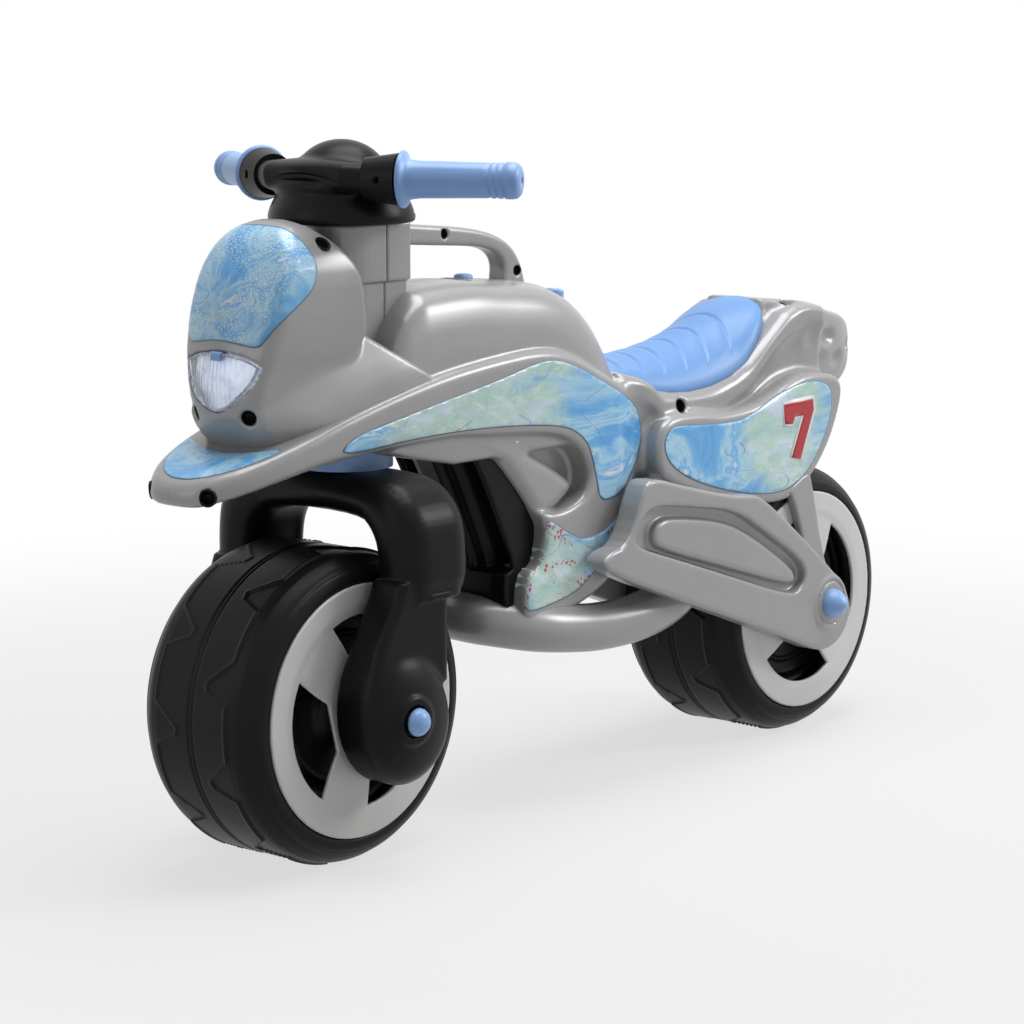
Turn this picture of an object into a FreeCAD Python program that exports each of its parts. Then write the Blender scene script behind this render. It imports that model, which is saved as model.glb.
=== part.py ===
import FreeCAD, Part
import math
import os
import Sketcher
from FreeCAD import Placement, Rotation, Vector

# Foot-to-floor ride-on toy motorcycle. Millimetres, +X forward, +Y to the rider's left, +Z up.
# The origin lies on the floor below the middle of the whole toy.
SIZES = [
    ("wheelbase", 568.0, "front axle to rear axle"),
    ("wheel_diameter", 240.0, "both wheels, on the tread"),
    ("tread_width", 120.0, "both wheels"),
    ("tyre_wall", 4.0, "blow-moulded tyre"),
    ("tyre_shoulder", 11.0, "bevel from tread to side"),
    ("rim_diameter", 191.4, "pale disc on each side of a wheel"),
    ("rim_wall", 3.0, "thickness of a rim disc"),
    ("rim_proud", 1.3, "rim face outside the tyre's side"),
    ("hub_diameter", 34.0, "tube between the two rim discs"),
    ("spoke_hole_inner", 36.0, "radius where a spoke opening starts"),
    ("spoke_hole_outer", 73.0, "radius where a spoke opening ends"),
    ("spoke_hole_angle", 80.0, "sweep of one spoke opening at its outer end"),
    ("front_rim_turn", -16.0, "turn of the front wheel's openings, from straight up towards the front"),
    ("rear_rim_turn", 49.0, "turn of the rear wheel's openings, from straight up towards the front"),
    ("axle_diameter", 12.0, "steel rod"),
    ("running_gap", 0.08, "radial play of a turning fit"),
    ("side_gap", 0.5, "play between parts that turn side by side"),
    ("front_cap_diameter", 21.0, "push-on cap"),
    ("front_cap_height", 10.0, "push-on cap"),
    ("rear_cap_diameter", 25.0, "push-on cap"),
    ("rear_cap_height", 17.0, "push-on cap"),
    ("beak_reach", 135.0, "tip of the beak ahead of the front axle"),
    ("steering_setback", 45.0, "steering axis behind the front axle"),
    ("steering_tube_diameter", 25.0, "steel tube"),
    ("steering_tube_wall", 2.0, "steel tube"),
    ("bearing_ring_diameter", 74.0, "lower steering bearing"),
    ("crown_top", 292.0, "top of the fork, for the drawn wheel"),
    ("crown_height", 30.0, "fork crown at the middle"),
    ("crown_length", 84.0, "fork crown along the bike"),
    ("leg_gap", 4.0, "fork leg beside the tread"),
    ("leg_thickness", 38.0, "fork leg across the bike"),
    ("pod_reach", 54.0, "axle pod beyond the tread"),
    ("shell_wall", 3.0, "moulded covers and body"),
    ("body_half_width", 60.0, "side fairings"),
    ("rear_half_width", 68.0, "rear fairings"),
    ("arch_gap", 4.0, "body clear of the rear wheel"),
    ("engine_half_width", 44.0, "engine covers"),
    ("head_length", 74.0, "steering head along the bike"),
    ("head_half_width", 28.0, "steering head across the bike"),
    ("head_joint", 431.0, "step between head tube and collar"),
    ("head_top", 475.4, "top of the collar"),
    ("dash_diameter", 110.0, "base ring of the dash"),
    ("dash_height", 24.0, "base ring of the dash"),
    ("dash_top", 537.0, "top of the dash cover"),
    ("bar_height", 510.0, "handlebar axis above the floor"),
    ("bar_diameter", 16.0, "steel tube"),
    ("bar_wall", 1.5, "steel tube"),
    ("bar_sweep", 27.4, "degrees that each grip leans back"),
    ("bar_corner", 29.5, "bend of the bar beside its middle"),
    ("bar_ahead", 33.0, "middle of the bar ahead of the steering axis"),
    ("grip_start", 46.0, "along the swept bar from its bend"),
    ("grip_length", 91.0, "along the swept bar"),
    ("grip_diameter", 25.0, "rider's grip"),
    ("grip_flange_diameter", 42.0, "guard at the inner end"),
    ("hub_cone_length", 26.0, "cone between dash and grip"),
    ("seat_width", 100.0, "moulded pad"),
    ("seat_thickness", 24.0, "moulded pad"),
    ("handle_width", 19.0, "carry handle"),
    ("handle_height", 12.0, "carry handle"),
    ("pipe_diameter", 40.0, "each exhaust pipe"),
    ("pipe_wall", 3.0, "each exhaust pipe"),
    ("arm_thickness", 20.0, "rear arm across the bike"),
    ("arm_gap", 5.0, "rear arm beside the rim face"),
    ("strut_gap", 1.7, "rear strut beside the rim face"),
    ("button_diameter", 16.0, "sound buttons"),
    ("button_proud", 3.0, "sound buttons above their panel"),
    ("button_depth", 11.0, "sound buttons below their panel's face"),
    ("button_gap", 0.4, "radial play of a sound button"),
    ("panel_thickness", 1.6, "plate on the tank"),
    ("panel_width", 44.0, "plate on the tank"),
    ("module_width", 32.0, "sound box in the tank"),
    ("module_wall", 2.0, "sound box in the tank"),
    ("cell_diameter", 14.2, "battery cells"),
    ("cell_length", 50.0, "battery cells"),
    ("speaker_diameter", 28.0, "speaker under the sound box"),
    ("speaker_height", 6.0, "speaker under the sound box"),
    ("lens_wall", 2.0, "headlight lens"),
    ("dish_depth", 16.0, "headlight reflector"),
    ("lamp_diameter", 10.0, "headlight lamp"),
    ("lamp_length", 22.0, "headlight lamp"),
    ("bush_height", 16.0, "upper steering bearing"),
    ("bush_wall", 6.0, "upper steering bearing"),
    ("ring_gap", 0.8, "lower steering bearing over the fork"),
    ("pod_diameter", 100.0, "axle pod of the fork"),
    ("pod_collar", 3.0, "ring round the cap on the axle pod"),
    ("axle_boss_diameter", 32.0, "bosses that the wheel hubs run against"),
    ("arm_end_diameter", 72.0, "rear arm round its axle"),
    ("clamp_length", 26.0, "saddle under the handlebar"),
    ("boss_wall", 2.5, "tubes that the body screws run in"),
    ("screw_diameter", 4.0, "self-tapping screw"),
    ("screw_head_diameter", 8.0, "self-tapping screw"),
    ("screw_head_height", 3.0, "self-tapping screw"),
    ("seat_gap", 0.3, "soft pad to its pocket"),
    ("cover_gap", 0.3, "play between fixed covers"),
]

# The body's stations are drawn for this bike, and stretched to the sheet's sizes by along() and up().
DRAWN_WHEELBASE = 568.0
DRAWN_WHEEL_DIAMETER = 240.0
HEAD_ZONE = -60.0
ENGINE_FRONT = -182.0
HEAD_LOW = 306.0

doc = FreeCAD.newDocument("ride_on_bike")
sheet = doc.addObject("Spreadsheet::Sheet", "sizes")
for row, (alias, value, note) in enumerate(SIZES, start=1):
    sheet.set("A%d" % row, alias)
    sheet.set("B%d" % row, str(value))
    sheet.set("C%d" % row, note)
    sheet.setAlias("B%d" % row, alias)
doc.recompute()
nodes = []


def size(expression):
    """Value of an expression written in the sheet's aliases."""
    value = sheet.evalExpression(expression)
    return float(getattr(value, "Value", value))


wheel_radius = size("wheel_diameter / 2")
wheelbase = size("wheelbase")
axle_x = size("(wheelbase + wheel_diameter / 2 - beak_reach) / 2")
rear_x = axle_x - wheelbase
steering_x = axle_x - size("steering_setback")
tread_half = size("tread_width / 2")
rim_face = tread_half + size("rim_proud")
wall = size("shell_wall")
gap = size("cover_gap")
side_gap = size("side_gap")
lift = size("wheel_diameter") - DRAWN_WHEEL_DIAMETER
body_half = size("body_half_width")
engine_half = size("engine_half_width")
pod_y = tread_half + size("pod_reach")
arm_y = rim_face + size("arm_gap")
arm_out = arm_y + size("arm_thickness")
crown_top = size("crown_top") + lift
bar_z = size("bar_height") + lift

# Text of the same places, for bound placements.
AXLE_X = "(sizes.wheelbase + sizes.wheel_diameter / 2 - sizes.beak_reach) / 2"
REAR_X = "(" + AXLE_X + " - sizes.wheelbase)"
STEERING_X = "(" + AXLE_X + " - sizes.steering_setback)"
AXLE_Z = "sizes.wheel_diameter / 2"
LIFT = "(sizes.wheel_diameter - 240)"


def along(offset):
    """World X of a station drawn at this offset from the front axle."""
    engine_front = ENGINE_FRONT - (wheel_radius - DRAWN_WHEEL_DIAMETER / 2)
    if offset >= HEAD_ZONE:
        placed = offset
    elif offset >= ENGINE_FRONT:
        share = (offset - HEAD_ZONE) / (ENGINE_FRONT - HEAD_ZONE)
        placed = HEAD_ZONE + share * (engine_front - HEAD_ZONE)
    elif offset >= -DRAWN_WHEELBASE:
        share = (offset - ENGINE_FRONT) / (-DRAWN_WHEELBASE - ENGINE_FRONT)
        placed = engine_front + share * (-wheelbase - engine_front)
    else:
        placed = offset + DRAWN_WHEELBASE - wheelbase
    return axle_x + placed


def up(height):
    """World Z of a height drawn for the nominal wheel."""
    return height + lift


def place(obj, x="0", y="0", z="0", rotation=None):
    """Bound placement of a document object."""
    if rotation is not None:
        obj.Placement = Placement(Vector(0, 0, 0), rotation)
    for axis, text in (("x", x), ("y", y), ("z", z)):
        obj.setExpression("Placement.Base." + axis, text)
    return obj


def node(obj, name):
    """Names a finished sub-part and keeps it for export."""
    obj.Label = name
    nodes.append(obj)
    return obj


def feature(name, shape, where=Vector(0, 0, 0)):
    """Sub-part whose shape is worked out here from the sheet, then put in its place."""
    obj = doc.addObject("Part::Feature", name + "_shape")
    obj.Shape = shape
    obj.Placement = Placement(where, Rotation())
    return node(obj, name)


def solid(kind, name, **sizes):
    """Part primitive bound to the sheet."""
    obj = doc.addObject("Part::" + kind, name)
    for prop, text in sizes.items():
        obj.setExpression(prop, text)
    return obj


def cut(base, tool, name):
    obj = doc.addObject("Part::Cut", name)
    obj.Base = base
    obj.Tool = tool
    return obj


def tube(name, outer, inner, length):
    """Tube along its own Z with bound radii."""
    body = solid("Cylinder", name + "_outer", Radius=outer, Height=length)
    bore = solid("Cylinder", name + "_bore", Radius=inner, Height=length)
    return cut(body, bore, name + "_tube")


def mirrored(source, name):
    obj = doc.addObject("Part::Mirroring", name + "_mirror")
    obj.Source = source
    obj.Normal = Vector(0, 1, 0)
    return node(obj, name)


def outline(body, role, points, name):
    """Closed sketch whose corners are held by bound distances from the origin."""
    plane = [item for item in body.Origin.OriginFeatures if item.Role == role][0]
    sketch = body.newObject("Sketcher::SketchObject", name)
    sketch.AttachmentSupport = [(plane, "")]
    sketch.MapMode = "FlatFace"
    corners = [Vector(size(a.replace("sizes.", "")), size(b.replace("sizes.", "")), 0) for a, b in points]
    count = len(points)
    for index, corner in enumerate(corners):
        sketch.addGeometry(Part.LineSegment(corner, corners[(index + 1) % count]), False)
    for index in range(count):
        sketch.addConstraint(Sketcher.Constraint("Coincident", index, 2, (index + 1) % count, 1))
    for index, texts in enumerate(points):
        for kind, text, value in zip(("DistanceX", "DistanceY"), texts, corners[index]):
            number = sketch.addConstraint(Sketcher.Constraint(kind, -1, 1, index, 1, value))
            sketch.setExpression("Constraints[%d]" % number, text)
    return sketch


def turned(name, points, axis="H_Axis"):
    """PartDesign revolution of an outline in the YZ plane about the body's Y axis."""
    body = doc.addObject("PartDesign::Body", name + "_body")
    sketch = outline(body, "YZ_Plane", points, name + "_outline")
    revolution = body.newObject("PartDesign::Revolution", name + "_turned")
    revolution.Profile = sketch
    revolution.ReferenceAxis = (sketch, [axis])
    revolution.Angle = 360
    body.Tip = revolution
    return body


def section(points, closing):
    """Wire of one smooth curve through the points and the straight lines that close it."""
    curve = Part.BSplineCurve()
    curve.interpolate(points)
    edges = [curve.toShape()]
    corners = [points[-1]] + closing + [points[0]]
    edges += [Part.makeLine(a, b) for a, b in zip(corners, corners[1:])]
    return Part.Wire(edges)


def loft(wires, ruled=False):
    return Part.makeLoft(wires, True, ruled)


def half_space(side):
    """Large box on one side of the middle plane."""
    reach = 3000.0
    low = 0.0 if side > 0 else -reach
    return Part.makeBox(2 * reach, reach, 2 * reach, Vector(-reach, low, -reach))


def plate(points, low, high):
    """Prism across the bike between two Y values, from an outline of X and Z."""
    loop = [Vector(x, low, z) for x, z in points]
    face = Part.Face(Part.makePolygon(loop + loop[:1]))
    return face.extrude(Vector(0, high - low, 0))


def rounded_plate(points, low, high, radius, edge):
    """Prism across the bike with round corners, and a round edge on its outer face."""
    body = plate(points, low, high)
    corners = [e for e in body.Edges if abs(e.tangentAt(e.FirstParameter).y) > 0.9]
    body = body.makeFillet(radius, corners)
    if edge > 0:
        rim = [e for e in body.Edges if min(v.Y for v in e.Vertexes) > high - 0.01]
        body = body.makeFillet(edge, rim)
    return body


def smooth_tube(points, radius, bend):
    """Tube along straight runs joined by tangent arcs."""
    edges = []
    last = points[0]
    for before, corner, after in zip(points, points[1:], points[2:]):
        enter = (before - corner).normalize()
        leave = (after - corner).normalize()
        half = enter.getAngle(leave) / 2
        trim = bend / math.tan(half)
        centre = corner + (enter + leave).normalize() * (bend / math.sin(half))
        start = corner + enter * trim
        end = corner + leave * trim
        middle = centre + (corner - centre).normalize() * bend
        edges.append(Part.makeLine(last, start))
        edges.append(Part.Arc(start, middle, end).toShape())
        last = end
    edges.append(Part.makeLine(last, points[-1]))
    path = Part.Wire(edges)
    ring = Part.Wire(Part.makeCircle(radius, points[0], points[1] - points[0]))
    return path.makePipeShell([ring], True, False)


# ---------------------------------------------------------------- body shells

# Station, underside, top, half width at the underside, then half width and height of crease and shoulder.
SPINE = [
    (-76, 314, 396, 50, 57, 345, 40, 382),
    (-110, 314, 419, 54, 60, 352, 42, 400),
    (-150, 314, 426, 56, 60, 358, 42, 408),
    (-216, 314, 420, 56, 60, 360, 42, 402),
    (-281, 300, 408, 56, 60, 345, 40, 385),
    (-330, 296, 374, 56, 60, 322, 36, 354),
    (-375, 290, 338, 56, 60, 305, 42, 325),
    (-430, 288, 336, 56, 60, 300, 47, 322),
    (-485, 290, 350, 56, 60, 305, 48, 332),
    (-535, 294, 376, 52, 58, 318, 42, 356),
    (-585, 298, 379, 44, 52, 322, 34, 365),
    (-635, 300, 368, 36, 45, 322, 30, 356),
    (-684, 306, 352, 26, 38, 325, 24, 344),
]
# Station, underside, top, half width.
BEAK = [
    (135, 282, 297, 22),
    (122, 279, 304, 38),
    (95, 283, 316, 50),
    (60, 291, 326, 57),
    (0, 301, 340, 60),
    (-60, 306, 352, 60),
    (-130, 314, 366, 59),
]
# Height, front, place and half width of the widest point, rear edge and its half width.
NOSE = [
    (318, 68, 26, 46, -66, 50),
    (345, 87, 34, 46, -82, 54),
    (370, 87, 40, 45, -72, 50),
    (394, 84, 42, 46, -46, 44),
    (421, 77, 36, 48, -32, 41),
    (443, 69, 32, 46, -26, 37),
    (465, 56, 28, 37, -5, 27),
    (480, 38, 26, 16, 20, 9),
]
# Side outlines, as offset from the front axle and height.
LOWER_FAIRING = [(-140, 318), (-172, 286), (-199, 244), (-212, 214), (-196, 192), (-196, 150),
                 (-240, 151), (-290, 163), (-326, 188), (-342, 224), (-345, 318)]
REAR_FAIRING = [(-350, 302), (-352, 262), (-384, 248), (-439, 232), (-512, 220), (-560, 232),
                (-600, 284), (-604, 302), (-590, 312), (-470, 312)]


def spine_section(row, inset, end):
    x, low, top, half_low, crease, crease_z, shoulder, shoulder_z = row
    x = along(x) - end
    low = up(low) + inset
    top = up(top) - inset
    width = body_half / 60.0
    left = [(half_low * width - inset, low), (crease * width - inset, up(crease_z)),
            (shoulder * width - 0.7 * inset, up(shoulder_z) - 0.7 * inset)]
    points = [Vector(x, y, z) for y, z in left]
    points.append(Vector(x, 0, top))
    points += [Vector(x, -y, z) for y, z in reversed(left)]
    return section(points, [])


def spine(inset):
    """Tank, seat base and tail as one smooth form, drawn in by the inset."""
    ends = [-inset] + [0] * (len(SPINE) - 2) + [inset]
    return loft([spine_section(row, inset, -end) for row, end in zip(SPINE, ends)])


def spine_top(offset, y):
    """Height of the tank's top at a station."""
    probe = Part.makeLine(Vector(along(offset), y, up(350)), Vector(along(offset), y, up(480)))
    return probe.common(spine(0)).BoundBox.ZMax


def beak_section(row, inset, end):
    x, low, top, half = row
    x = along(x) - end
    half = half * body_half / 60.0 - inset
    low = up(low) + inset
    top = up(top) - inset
    rise = top - low
    left = [(half - 5, low), (half, low + 0.35 * rise), (half * 0.82, low + 0.82 * rise)]
    points = [Vector(x, y, z) for y, z in left]
    points.append(Vector(x, 0, top))
    points += [Vector(x, -y, z) for y, z in reversed(left)]
    return section(points, [])


def beak(inset):
    ends = [inset] + [0] * (len(BEAK) - 2) + [-inset]
    return loft([beak_section(row, inset, end) for row, end in zip(BEAK, ends)])


def nose_section(row, inset, rear_shift, z_shift):
    z, front, wide_x, wide, rear, rear_half = row
    z = up(z) + z_shift
    front = axle_x + front - inset
    rear = along(rear) - rear_shift
    wide_x = axle_x + wide_x
    left = [(rear, rear_half - inset), (wide_x, wide - inset),
            (front - 0.22 * (front - wide_x), 0.84 * (wide - inset)),
            (front - 0.05 * (front - wide_x), 0.45 * (wide - inset))]
    points = [Vector(x, y, z) for x, y in left]
    points.append(Vector(front, 0, z))
    points += [Vector(x, -y, z) for x, y in reversed(left)]
    return section(points, [])


def nose(inset, rear_shift=0.0):
    shifts = [-inset] + [0] * (len(NOSE) - 2) + [-inset]
    return loft([nose_section(row, inset, rear_shift, shift) for row, shift in zip(NOSE, shifts)])


def stretched(points):
    return [(along(x), up(z)) for x, z in points]


def pulled_in(points, inset):
    """The same closed outline, moved inwards by the inset."""
    loop = [Vector(x, 0, z) for x, z in points]
    wire = Part.makePolygon(loop + loop[:1])
    smaller = wire.makeOffset2D(-inset, 2)
    if smaller.BoundBox.XLength > wire.BoundBox.XLength:
        smaller = wire.makeOffset2D(inset, 2)
    return [(v.X, v.Z) for v in smaller.OrderedVertexes]


lower_tray_inner = engine_half + 0.5
fairing = stretched(LOWER_FAIRING)
rear_side = stretched(REAR_FAIRING)
head_half_length = size("head_length / 2")
head_x = steering_x - 10.0
head_half_width = size("head_half_width")
head_bottom = up(HEAD_LOW)
seat_half = size("seat_width / 2")
seat_thick = size("seat_thickness")

# Station, top of the pad and share of the pad's half width.
SEAT = [
    (-336, 350, 0.40),
    (-356, 350, 0.72),
    (-405, 353, 0.94),
    (-455, 361, 1.0),
    (-505, 377, 0.97),
    (-540, 385, 0.84),
    (-562, 382, 0.55),
]


def seat_section(row, grow):
    x, top, share = row
    x = along(x)
    half = share * seat_half + grow
    top = up(top) + grow
    low = up(row[1]) - seat_thick - grow
    rise = top - low
    left = [(half - 3, low), (half, low + 0.45 * rise), (0.8 * half, low + 0.88 * rise)]
    points = [Vector(x, y, z) for y, z in left]
    points.append(Vector(x, 0, top))
    points += [Vector(x, -y, z) for y, z in reversed(left)]
    return section(points, [])


def seat_pad(grow):
    wires = [seat_section(row, grow) for row in SEAT]
    for wire, shift in ((wires[0], grow), (wires[-1], -grow)):
        wire.translate(Vector(shift, 0, 0))
    return loft(wires)


def head_block(grow):
    """Steering head envelope: an oval column with a wider collar on top."""
    pieces = []
    for low, high, slim in ((head_bottom, up(size("head_joint")), 2.5),
                            (up(size("head_joint")), up(size("head_top")), 0.0)):
        length = head_half_length - slim + grow
        width = head_half_width - slim + grow
        block = Part.makeBox(2 * length, 2 * width, high - low, Vector(head_x - length, -width, low))
        corners = [e for e in block.Edges if abs(e.tangentAt(e.FirstParameter).z) > 0.9]
        pieces.append(block.makeFillet(width * 0.72, corners))
    return pieces[0].fuse(pieces[1])


def wheel_arch(x):
    """Room for a wheel: the tyre's own outline with clearance all round."""
    free = size("arch_gap")
    edge = tread_half + size("rim_proud") + 1
    flat = tread_half - size("tyre_shoulder")
    low = wheel_radius - size("tyre_shoulder") + free
    rows = [(-edge, low), (-tread_half, low), (-flat, wheel_radius + free), (flat, wheel_radius + free),
            (tread_half, low), (edge, low)]
    loop = [Vector(x, y, wheel_radius + r) for y, r in rows]
    loop = [Vector(x, -edge, wheel_radius)] + loop + [Vector(x, edge, wheel_radius)]
    face = Part.Face(Part.makePolygon(loop + loop[:1]))
    return face.revolve(Vector(x, 0, wheel_radius), Vector(0, 1, 0), 360)


body_outer = spine(0).fuse(beak(0))
body_room = spine(wall).fuse(beak(wall))
shell = body_outer.cut(body_room)
rear_half = size("rear_half_width")
rear_box = rounded_plate(rear_side, -rear_half, rear_half, 10, 0)
rear_room = rounded_plate(pulled_in(rear_side, wall), -rear_half + wall, rear_half - wall, 7, 0)
shell = shell.fuse(rear_box.cut(rear_room).cut(body_room)).cut(rear_room.cut(body_outer.cut(body_room)))
shell = shell.cut(wheel_arch(rear_x))
tray = plate(fairing, lower_tray_inner, body_half)
tray_room = plate(pulled_in(fairing, wall), lower_tray_inner - 1, body_half - wall)
tray = tray.cut(tray_room).cut(spine(0))

# Screw places: offset, height, and which are seen from outside.
SCREWS = [(-150, 352), (-356, 306), (-600, 340), (-662, 332)]
screw_r = size("screw_diameter / 2")
head_r = size("screw_head_diameter / 2")
head_h = size("screw_head_height")
boss_wall = size("boss_wall")


def along_y(radius, low, high, x, z):
    return Part.makeCylinder(radius, high - low, Vector(x, low, z), Vector(0, 1, 0))


screws = []
bosses = []
screw_room = []
for offset, height in SCREWS:
    x = along(offset)
    z = up(height)
    seat_y = 22.0 if offset > -500 else 14.0
    bosses.append(along_y(head_r + boss_wall, -body_half, body_half, x, z).common(body_outer))
    shank = along_y(screw_r, -seat_y + 6, seat_y, x, z)
    head = along_y(head_r, seat_y, seat_y + head_h, x, z)
    screws.append(shank.fuse(head).removeSplitter())
    screw_room.append(along_y(head_r, seat_y, body_half + 5, x, z))
    screw_room.append(along_y(screw_r, -seat_y + 6, seat_y, x, z))
shell = shell.fuse(bosses)

panel_x = (along(-168), along(-296))
panel_half = size("panel_width / 2")
module_half = size("module_width / 2")
button_place = [(-181, 0.0, "button_start"), (-281, 10.0, "button_horn"), (-281, -10.0, "button_tune")]
button_r = size("button_diameter / 2")
well_r = button_r + size("button_gap")

nose_outer = nose(0)
pad_pocket = seat_pad(size("seat_gap"))
head_hole = head_block(0)
ring_seat = Part.makeCylinder(size("bearing_ring_diameter / 2"), head_bottom - up(250),
                              Vector(steering_x, 0, up(250)))
mould = shell.cut(pad_pocket).cut(head_hole).cut(ring_seat).cut(Part.makeCompound(screw_room))
module_low = up(345)
module_x = (along(-262), along(-198))
left_shell = mould.common(half_space(1)).fuse(tray)
right_shell = mould.common(half_space(-1)).fuse(tray.mirror(Vector(0, 0, 0), Vector(0, 1, 0)))
for offset, y, name in button_place:
    well = Part.makeCylinder(well_r, 60, Vector(along(offset), y, up(395)))
    left_shell = left_shell.cut(well)
    right_shell = right_shell.cut(well)
feature("body_left_shell", left_shell)
feature("body_right_shell", right_shell)
feature("body_screws", Part.makeCompound(screws))
feature("seat_pad", seat_pad(0))

# ---------------------------------------------------------------- nose and headlight

LENS_HALF = [(37, 383), (30, 366), (14, 351)]
LENS = [(20, 388)] + LENS_HALF + [(0, 347)] + [(-y, z) for y, z in LENS_HALF[::-1]] + [(-20, 388)]


def lens_prism(grow, low, high):
    loop = [Vector(low, y * (1 + grow / 37.0), up(367) + (z - 367) * (1 + grow / 20.0)) for y, z in LENS]
    return Part.Face(Part.makePolygon(loop + loop[:1])).extrude(Vector(high - low, 0, 0))


lens_front = axle_x + 130
lens_rear = axle_x + 48
nose_shell = nose_outer.cut(nose(wall, 12.0))
nose_shell = nose_shell.cut(body_outer).cut(lens_prism(0.0, lens_rear, lens_front))
nose_shell = nose_shell.cut(head_block(gap))
feature("nose_cowl", max(nose_shell.Solids, key=lambda piece: piece.Volume))
lens_wall = size("lens_wall")
dish_back = lens_wall + size("dish_depth")
lens = nose_outer.cut(nose(lens_wall, 12.0)).common(lens_prism(-0.15, lens_rear, lens_front))
lens = max(lens.Solids, key=lambda piece: piece.Volume)
tab = Part.makeBox(16, 12, 5, Vector(axle_x + 76, -6, up(382.5)))
lens_tab = tab.common(nose(-1.2)).cut(nose_outer)
feature("headlight_lens", lens)
feature("headlight_tab", max(lens_tab.Solids, key=lambda piece: piece.Volume))
dish_x = axle_x + 84 - dish_back
dish = lens_prism(-1.5, dish_x, lens_front).common(nose(lens_wall, 12.0))
dish = dish.cut(lens_prism(-4.0, dish_x + lens_wall, lens_front))
lamp_z = up(368)
lamp_x = axle_x + 57
lamp_r = size("lamp_diameter / 2")
socket = Part.makeCylinder(lamp_r, 30, Vector(lamp_x, 0, lamp_z), Vector(1, 0, 0))
feature("headlight_reflector", dish.cut(socket))
lamp = Part.makeCylinder(lamp_r, size("lamp_length"), Vector(lamp_x, 0, lamp_z), Vector(1, 0, 0))
feature("headlight_lamp", lamp)

# ---------------------------------------------------------------- engine covers

# Height, foremost X offset at the middle, and X offset where the side begins.
ENGINE = [
    (152, -196, -206),
    (196, -182, -200),
    (202, -184, -196),
    (253, -156, -182),
    (312, -132, -150),
]


def engine_section(row, inset, z_shift):
    z, prow, side = row
    z = up(z) + z_shift
    prow = along(prow) - inset
    side = along(side) - inset
    half = engine_half - inset
    back = along(-238)
    loop = [Vector(prow, -half * 0.12, z), Vector(prow, half * 0.12, z), Vector(side + 6, half * 0.72, z),
            Vector(side - 12, half, z), Vector(back, half, z), Vector(back, -half, z),
            Vector(side - 12, -half, z), Vector(side + 6, -half * 0.72, z)]
    return Part.makePolygon(loop + loop[:1])


def engine(inset):
    shifts = [inset] + [0] * (len(ENGINE) - 2) + [-inset]
    return loft([engine_section(row, inset, shift) for row, shift in zip(ENGINE, shifts)], True)


engine_room = engine(wall)
engine_room = engine_room.fuse(engine_room.translated(Vector(-2 * wall, 0, 0)))
covers = engine(0).cut(engine_room).cut(body_outer)
for side, name in ((1, "engine_cover_left"), (-1, "engine_cover_right")):
    half = covers.common(half_space(side))
    feature(name, max(half.Solids, key=lambda piece: piece.Volume))

# ---------------------------------------------------------------- steering head

head = head_block(0)
tube_r = size("steering_tube_diameter / 2")
head_bore = Part.makeCylinder(tube_r + size("bush_wall"), 400, Vector(steering_x, 0, up(250)))
head = head.cut(head_bore)
parting = Part.makeBox(400, 400, 400, Vector(steering_x, -200, up(200)))
feature("steering_head_front", head.common(parting))
feature("steering_head_rear", head.cut(parting))
RUNNING_BORE = "sizes.steering_tube_diameter / 2 + sizes.running_gap"
HEAD_SEAT = "sizes.steering_tube_diameter / 2 + sizes.bush_wall"
bush = tube("upper_bush", HEAD_SEAT, RUNNING_BORE, "sizes.bush_height")
place(bush, STEERING_X, "0", "sizes.head_top - sizes.bush_height + " + LIFT)
node(bush, "steering_bush_upper")
ring = tube("bearing_ring", "sizes.bearing_ring_diameter / 2", RUNNING_BORE,
            "%g - sizes.crown_top - sizes.ring_gap" % HEAD_LOW)
place(ring, STEERING_X, "0", "sizes.crown_top + sizes.ring_gap + " + LIFT)
node(ring, "steering_bearing_ring")

# ---------------------------------------------------------------- carry handle

handle_half = size("handle_width / 2")
HANDLE = [(-170, 464), (-206, 458), (-236, 448), (-246, 430), (-247, 405)]


def strip(points, thickness):
    """Outline of a band that hangs below a line of points by its thickness."""
    below = []
    for before, here, after in zip([points[0]] + points, points, points[1:] + [points[-1]]):
        way = Vector(after[0] - before[0], 0, after[1] - before[1]).normalize()
        below.append((here[0] - way.z * thickness, here[1] + way.x * thickness))
    return points + below[::-1]


handle_line = [(head_x - head_half_length, up(468))] + [(along(x), up(z)) for x, z in HANDLE]
handle = plate(strip(handle_line, size("handle_height")), -handle_half, handle_half)
handle = handle.cut(spine(0)).cut(head)
feature("carry_handle", max(handle.Solids, key=lambda piece: piece.Volume))

# ---------------------------------------------------------------- sound panel, buttons and module

panel_thick = size("panel_thickness")
panel_box = Part.makeBox(panel_x[0] - panel_x[1], 2 * panel_half, up(440) - up(380),
                         Vector(panel_x[1], -panel_half, up(380)))
panel = spine(-panel_thick).common(panel_box).cut(spine(0))
panel = max(panel.Solids, key=lambda piece: piece.Volume)
foot_room = Part.makeBox(18, 2 * handle_half, 80, Vector(along(-249), -handle_half, up(400)))
wells = [Part.makeCylinder(well_r, 80, Vector(along(offset), y, up(380)))
         for offset, y, name in button_place]
feature("sound_panel", panel.cut(foot_room).cut(Part.makeCompound(wells)))
module_box = Part.makeBox(module_x[1] - module_x[0], 2 * module_half, up(440) - module_low,
                          Vector(module_x[0], -module_half, module_low))
module_wall = size("module_wall")
module_corner = Vector(module_x[0] + module_wall, -module_half + module_wall, module_low + module_wall)
module_inner = Part.makeBox(module_x[1] - module_x[0] - 2 * module_wall, 2 * module_half - 2 * module_wall,
                            up(440) - module_low, module_corner)
module = module_box.common(spine(wall)).cut(module_inner.common(spine(wall + module_wall)))
feature("sound_module", module)
cell_r = size("cell_diameter / 2")
cell_length = size("cell_length")
cells = []
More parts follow.
